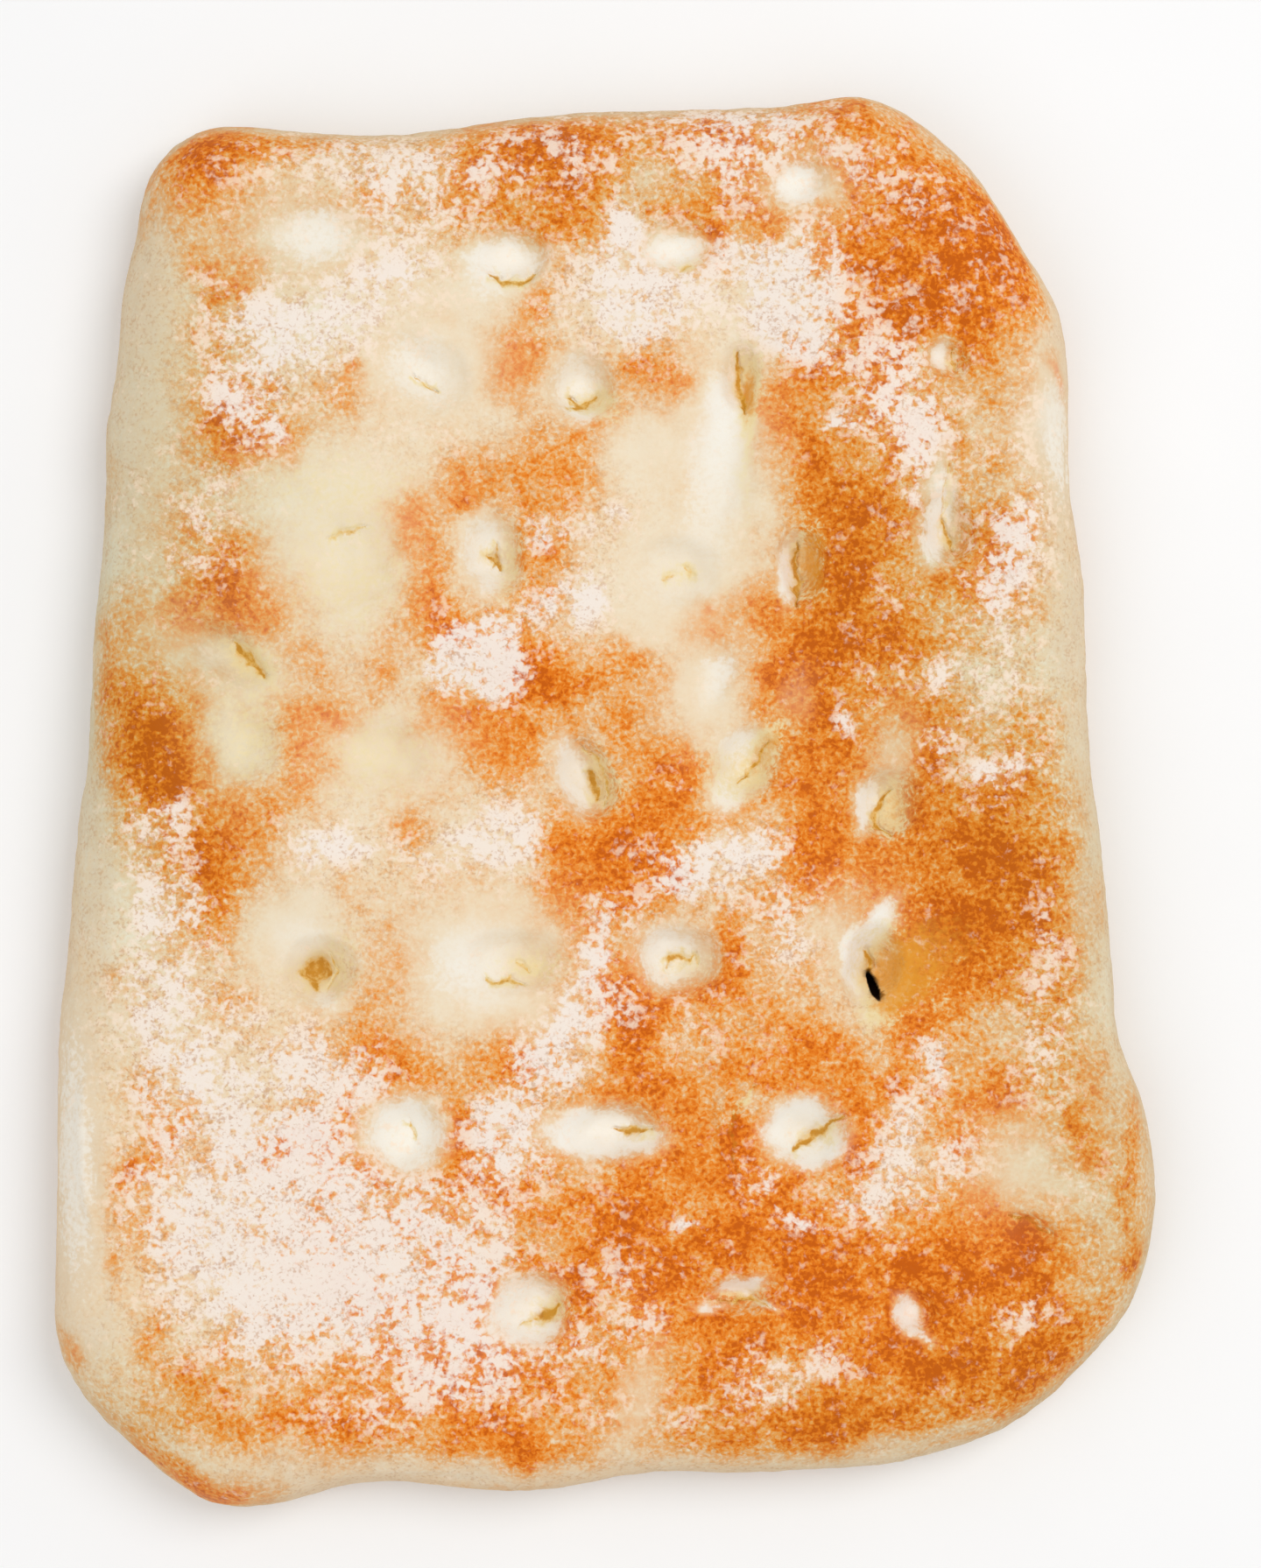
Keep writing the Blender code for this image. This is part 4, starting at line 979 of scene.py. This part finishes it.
def pit_colour(tree, colour, smooth, browning):
    """White dough in the pits, crisp against rough crust, then painted warm shade in straw and gold."""
    specks = swing_of(tree, grain(tree, PIT_SPECK, detail=2.0, seed=12.5))
    warm_shade = calculate(tree, "MULTIPLY_ADD", specks, PAINTED_SHADE_SPECKS, marked(tree, "painted_warm_shade"))
    painted_straw = spread_over(tree, warm_shade, *PAINTED_STRAW_RANGE)
    painted_straw = multiply(tree, painted_straw, spread_over(tree, browning, *PAINTED_STRAW_FADES))
    soft = spread_over(tree, smooth, *SOFT_EDGE_RANGE)
    white = calculate(tree, "MULTIPLY_ADD", specks, WHITE_SPECKS, marked(tree, "whitened"))
    low = calculate(tree, "MULTIPLY_ADD", soft, *WHITE_FROM)
    high = calculate(tree, "MULTIPLY_ADD", soft, *WHITE_TO)
    white = spread_over(tree, white, low, high, 0.0, WHITE_COVERS)
    white = multiply(tree, white, spread_over(tree, marked(tree, "whitened"), *WHITE_LEVEL))
    colour = mix_colour(tree, white, colour, WHITE_DOUGH)
    # Painted warm shade: straw on the shaded walls of the dimples, deep gold where strongest
    colour = mix_colour(tree, painted_straw, colour, PAINTED_SHADE_STRAW)
    return mix_colour(tree, spread_over(tree, warm_shade, *PAINTED_GOLD_RANGE), colour, PAINTED_SHADE_GOLD)


def bran_share(tree, rough, baked):
    """How much bran shows: most in flour, least in pits and on dark crust."""
    share = multiply(tree, baked["Bran"], multiply(tree, rough, rough))
    share = multiply(tree, share, spread_over(tree, marked(tree, "floured"), *BRAN_IN_FLOUR))
    share = multiply(tree, share, spread_over(tree, marked(tree, "whitened"), *BRAN_IN_WHITE))
    return multiply(tree, share, spread_over(tree, baked["Browning"], *BRAN_IN_BROWN))


def crease_glow_and_shade(tree, colour, browning):
    """Painted light and shade in the creases: an ochre glow broken up along their run, darker brown shade
    at the core and on browned crust.
    """
    patchy = swing_of(tree, grain(tree, CREASE_SPECK, detail=2.0, seed=4.4))
    painted_crease = calculate(tree, "MULTIPLY_ADD", patchy, CREASE_SPECKS, marked(tree, "crease"))
    painted_crease = multiply(tree, painted_crease, spread_over(tree, marked(tree, "crease"), *CREASE_STARTS))
    painted_crease = spread_over(tree, painted_crease, *CREASE_RANGE)
    brown = spread_over(tree, browning, *CREASE_IN_BROWN)
    brown = calculate(tree, "MAXIMUM", brown, spread_over(tree, painted_crease, *CREASE_SHADED_CORE))
    return mix_colour(tree, painted_crease, colour, mix_colour(tree, brown, CREASE_PAINTED_GLOW, CREASE_PAINTED_SHADE))


def browned_crust(dusting, mottle):
    """Top and sides: dough from cream to deep orange-brown, pale pits with painted warm shade, creases with
    painted glow and shade, painted shadow in the tear, flour.
    """
    material, tree, shader = new_material("browned_crust")
    smooth, floured = marked(tree, "smooth_dough"), marked(tree, "floured")
    rough = calculate(tree, "MULTIPLY_ADD", smooth, *ROUGH_BY_SMOOTH)
    rough = calculate(tree, "MAXIMUM", rough, LEAST_ROUGH)
    baked = use_group(
        tree, mottle,
        browning=marked(tree, "browned"),
        blotches=CRUST_BLOTCHES,
        specks=multiply(tree, rough, CRUST_SPECKS),
    )
    colour = dough_colour(tree, smooth, baked["Browning"])
    colour = pit_colour(tree, colour, smooth, baked["Browning"])
    dusted = use_group(tree, dusting, crust_colour=colour, amount=floured, opacity=CRUST_FLOUR)
    colour = mix_colour(tree, bran_share(tree, rough, baked), dusted["Colour"], BRAN_BROWN)
    # Painted glow and shade in the creases
    colour = crease_glow_and_shade(tree, colour, baked["Browning"])
    # Painted shadow in the torn gap
    colour = mix_colour(tree, marked(tree, "tear_shadow"), colour, TEAR_PAINTED_SHADOW)
    tree.links.new(colour, shader.inputs["Base Color"])
    roughness = spread_over(tree, baked["Browning"], *CRUST_ROUGHNESS)
    roughness = calculate(tree, "MULTIPLY_ADD", dusted["Cover"], FLOUR_ROUGHNESS, roughness)
    tree.links.new(roughness, shader.inputs["Roughness"])
    height = multiply(tree, baked["Relief"], rough)
    height = calculate(tree, "MULTIPLY_ADD", dusted["Cover"], CRUST_FLOUR_RELIEF, height)
    add_relief(tree, shader, height, CRUST_RELIEF)
    shader.inputs["Specular IOR Level"].default_value = CRUST_SPECULAR
    return material


def hearth_base(dusting, mottle):
    """Underside: evenly baked, darker where it touched the hearth, with flour in its pores."""
    material, tree, shader = new_material("hearth_base")
    scorch = grain(tree, SCORCH_SIZE, detail=4.0, roughness=0.6, seed=2.2)
    baked = use_group(
        tree, mottle,
        browning=spread_over(tree, scorch, *SCORCH_RANGE),
        blotches=BASE_BLOTCHES,
        specks=BASE_SPECKS,
    )
    drifts = grain(tree, BASE_FLOUR_SIZE, detail=3.0, seed=9.4)
    dusted = use_group(
        tree, dusting,
        crust_colour=baked_colour(tree, baked["Browning"]),
        amount=spread_over(tree, drifts, *BASE_FLOUR_RANGE),
        opacity=BASE_FLOUR,
    )
    tree.links.new(dusted["Colour"], shader.inputs["Base Color"])
    shader.inputs["Roughness"].default_value = BASE_ROUGHNESS
    height = calculate(tree, "MULTIPLY_ADD", dusted["Cover"], BASE_FLOUR_RELIEF, baked["Relief"])
    add_relief(tree, shader, height, BASE_RELIEF)
    return material


def worktop():
    material, tree, shader = new_material("pale_worktop")
    cloud = grain(tree, WORKTOP_CLOUD, detail=2.0)
    tree.links.new(mix_colour(tree, cloud, *WORKTOP_GREYS), shader.inputs["Base Color"])
    shader.inputs["Roughness"].default_value = WORKTOP_ROUGHNESS
    return material


# The pieces

noise.seed_set(DRIFT_SEED)
loaf = dough_slab()
apply_modifier(loaf, "REMESH", mode="VOXEL", voxel_size=VOXEL * MM)
cut_finer_by_creases(loaf)
press_and_bake(loaf)
apply_modifier(
    loaf, "DECIMATE",
    ratio=MOST_TRIANGLES / (2 * len(loaf.data.polygons)), use_collapse_triangulate=True,
)
centre_on_floor(loaf)
mark_baking(loaf)
loaf.data.shade_smooth()

dusting, mottle = flour_dusting(), oven_mottle()
loaf.data.materials.clear()
loaf.data.materials.append(browned_crust(dusting, mottle))
loaf.data.materials.append(hearth_base(dusting, mottle))
for face in loaf.data.polygons:
    face.material_index = int(face.center.z < BASE_BELOW * MM)
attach(loaf, "root")
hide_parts("schiacciata")

# The stage: a pale worktop, soft light from the right, and the camera almost straight above

bpy.ops.object.select_all(action="DESELECT")
bpy.ops.mesh.primitive_plane_add(size=WORKTOP_SIZE, location=(0.0, 0.0, -WORKTOP_GAP * MM))
floor = bpy.context.active_object
floor.name = "worktop"
floor.data.materials.append(worktop())

elevation = math.radians(CAMERA_ELEVATION)
back = Vector((0.0, -math.cos(elevation), math.sin(elevation)))
camera_data = bpy.data.cameras.new("overhead")
camera_data.lens = SENSOR * CAMERA_DISTANCE / VIEW_HEIGHT
camera_data.sensor_width = SENSOR
camera = bpy.data.objects.new("overhead", camera_data)
camera.location = CAMERA_TARGET + back * CAMERA_DISTANCE
camera.rotation_euler = back.to_track_quat("Z", "Y").to_euler()
bpy.context.scene.collection.objects.link(camera)
bpy.context.scene.camera = camera


def area_light(name, place, size, power, colour):
    data = bpy.data.lights.new(name, "AREA")
    data.shape = "DISK"
    data.size = size
    data.energy = power
    data.color = colour
    light = bpy.data.objects.new(name, data)
    light.location = place
    light.rotation_euler = Vector(place).to_track_quat("Z", "Y").to_euler()
    bpy.context.scene.collection.objects.link(light)


for lamp in LAMPS:
    area_light(*lamp)

world = bpy.data.worlds.new("studio")
world.use_nodes = True
world.node_tree.nodes["Background"].inputs["Color"].default_value = (1.0, 1.0, 1.0, 1.0)
world.node_tree.nodes["Background"].inputs["Strength"].default_value = ROOM_LIGHT
bpy.context.scene.world = world
bpy.context.scene.view_settings.view_transform = "Standard"
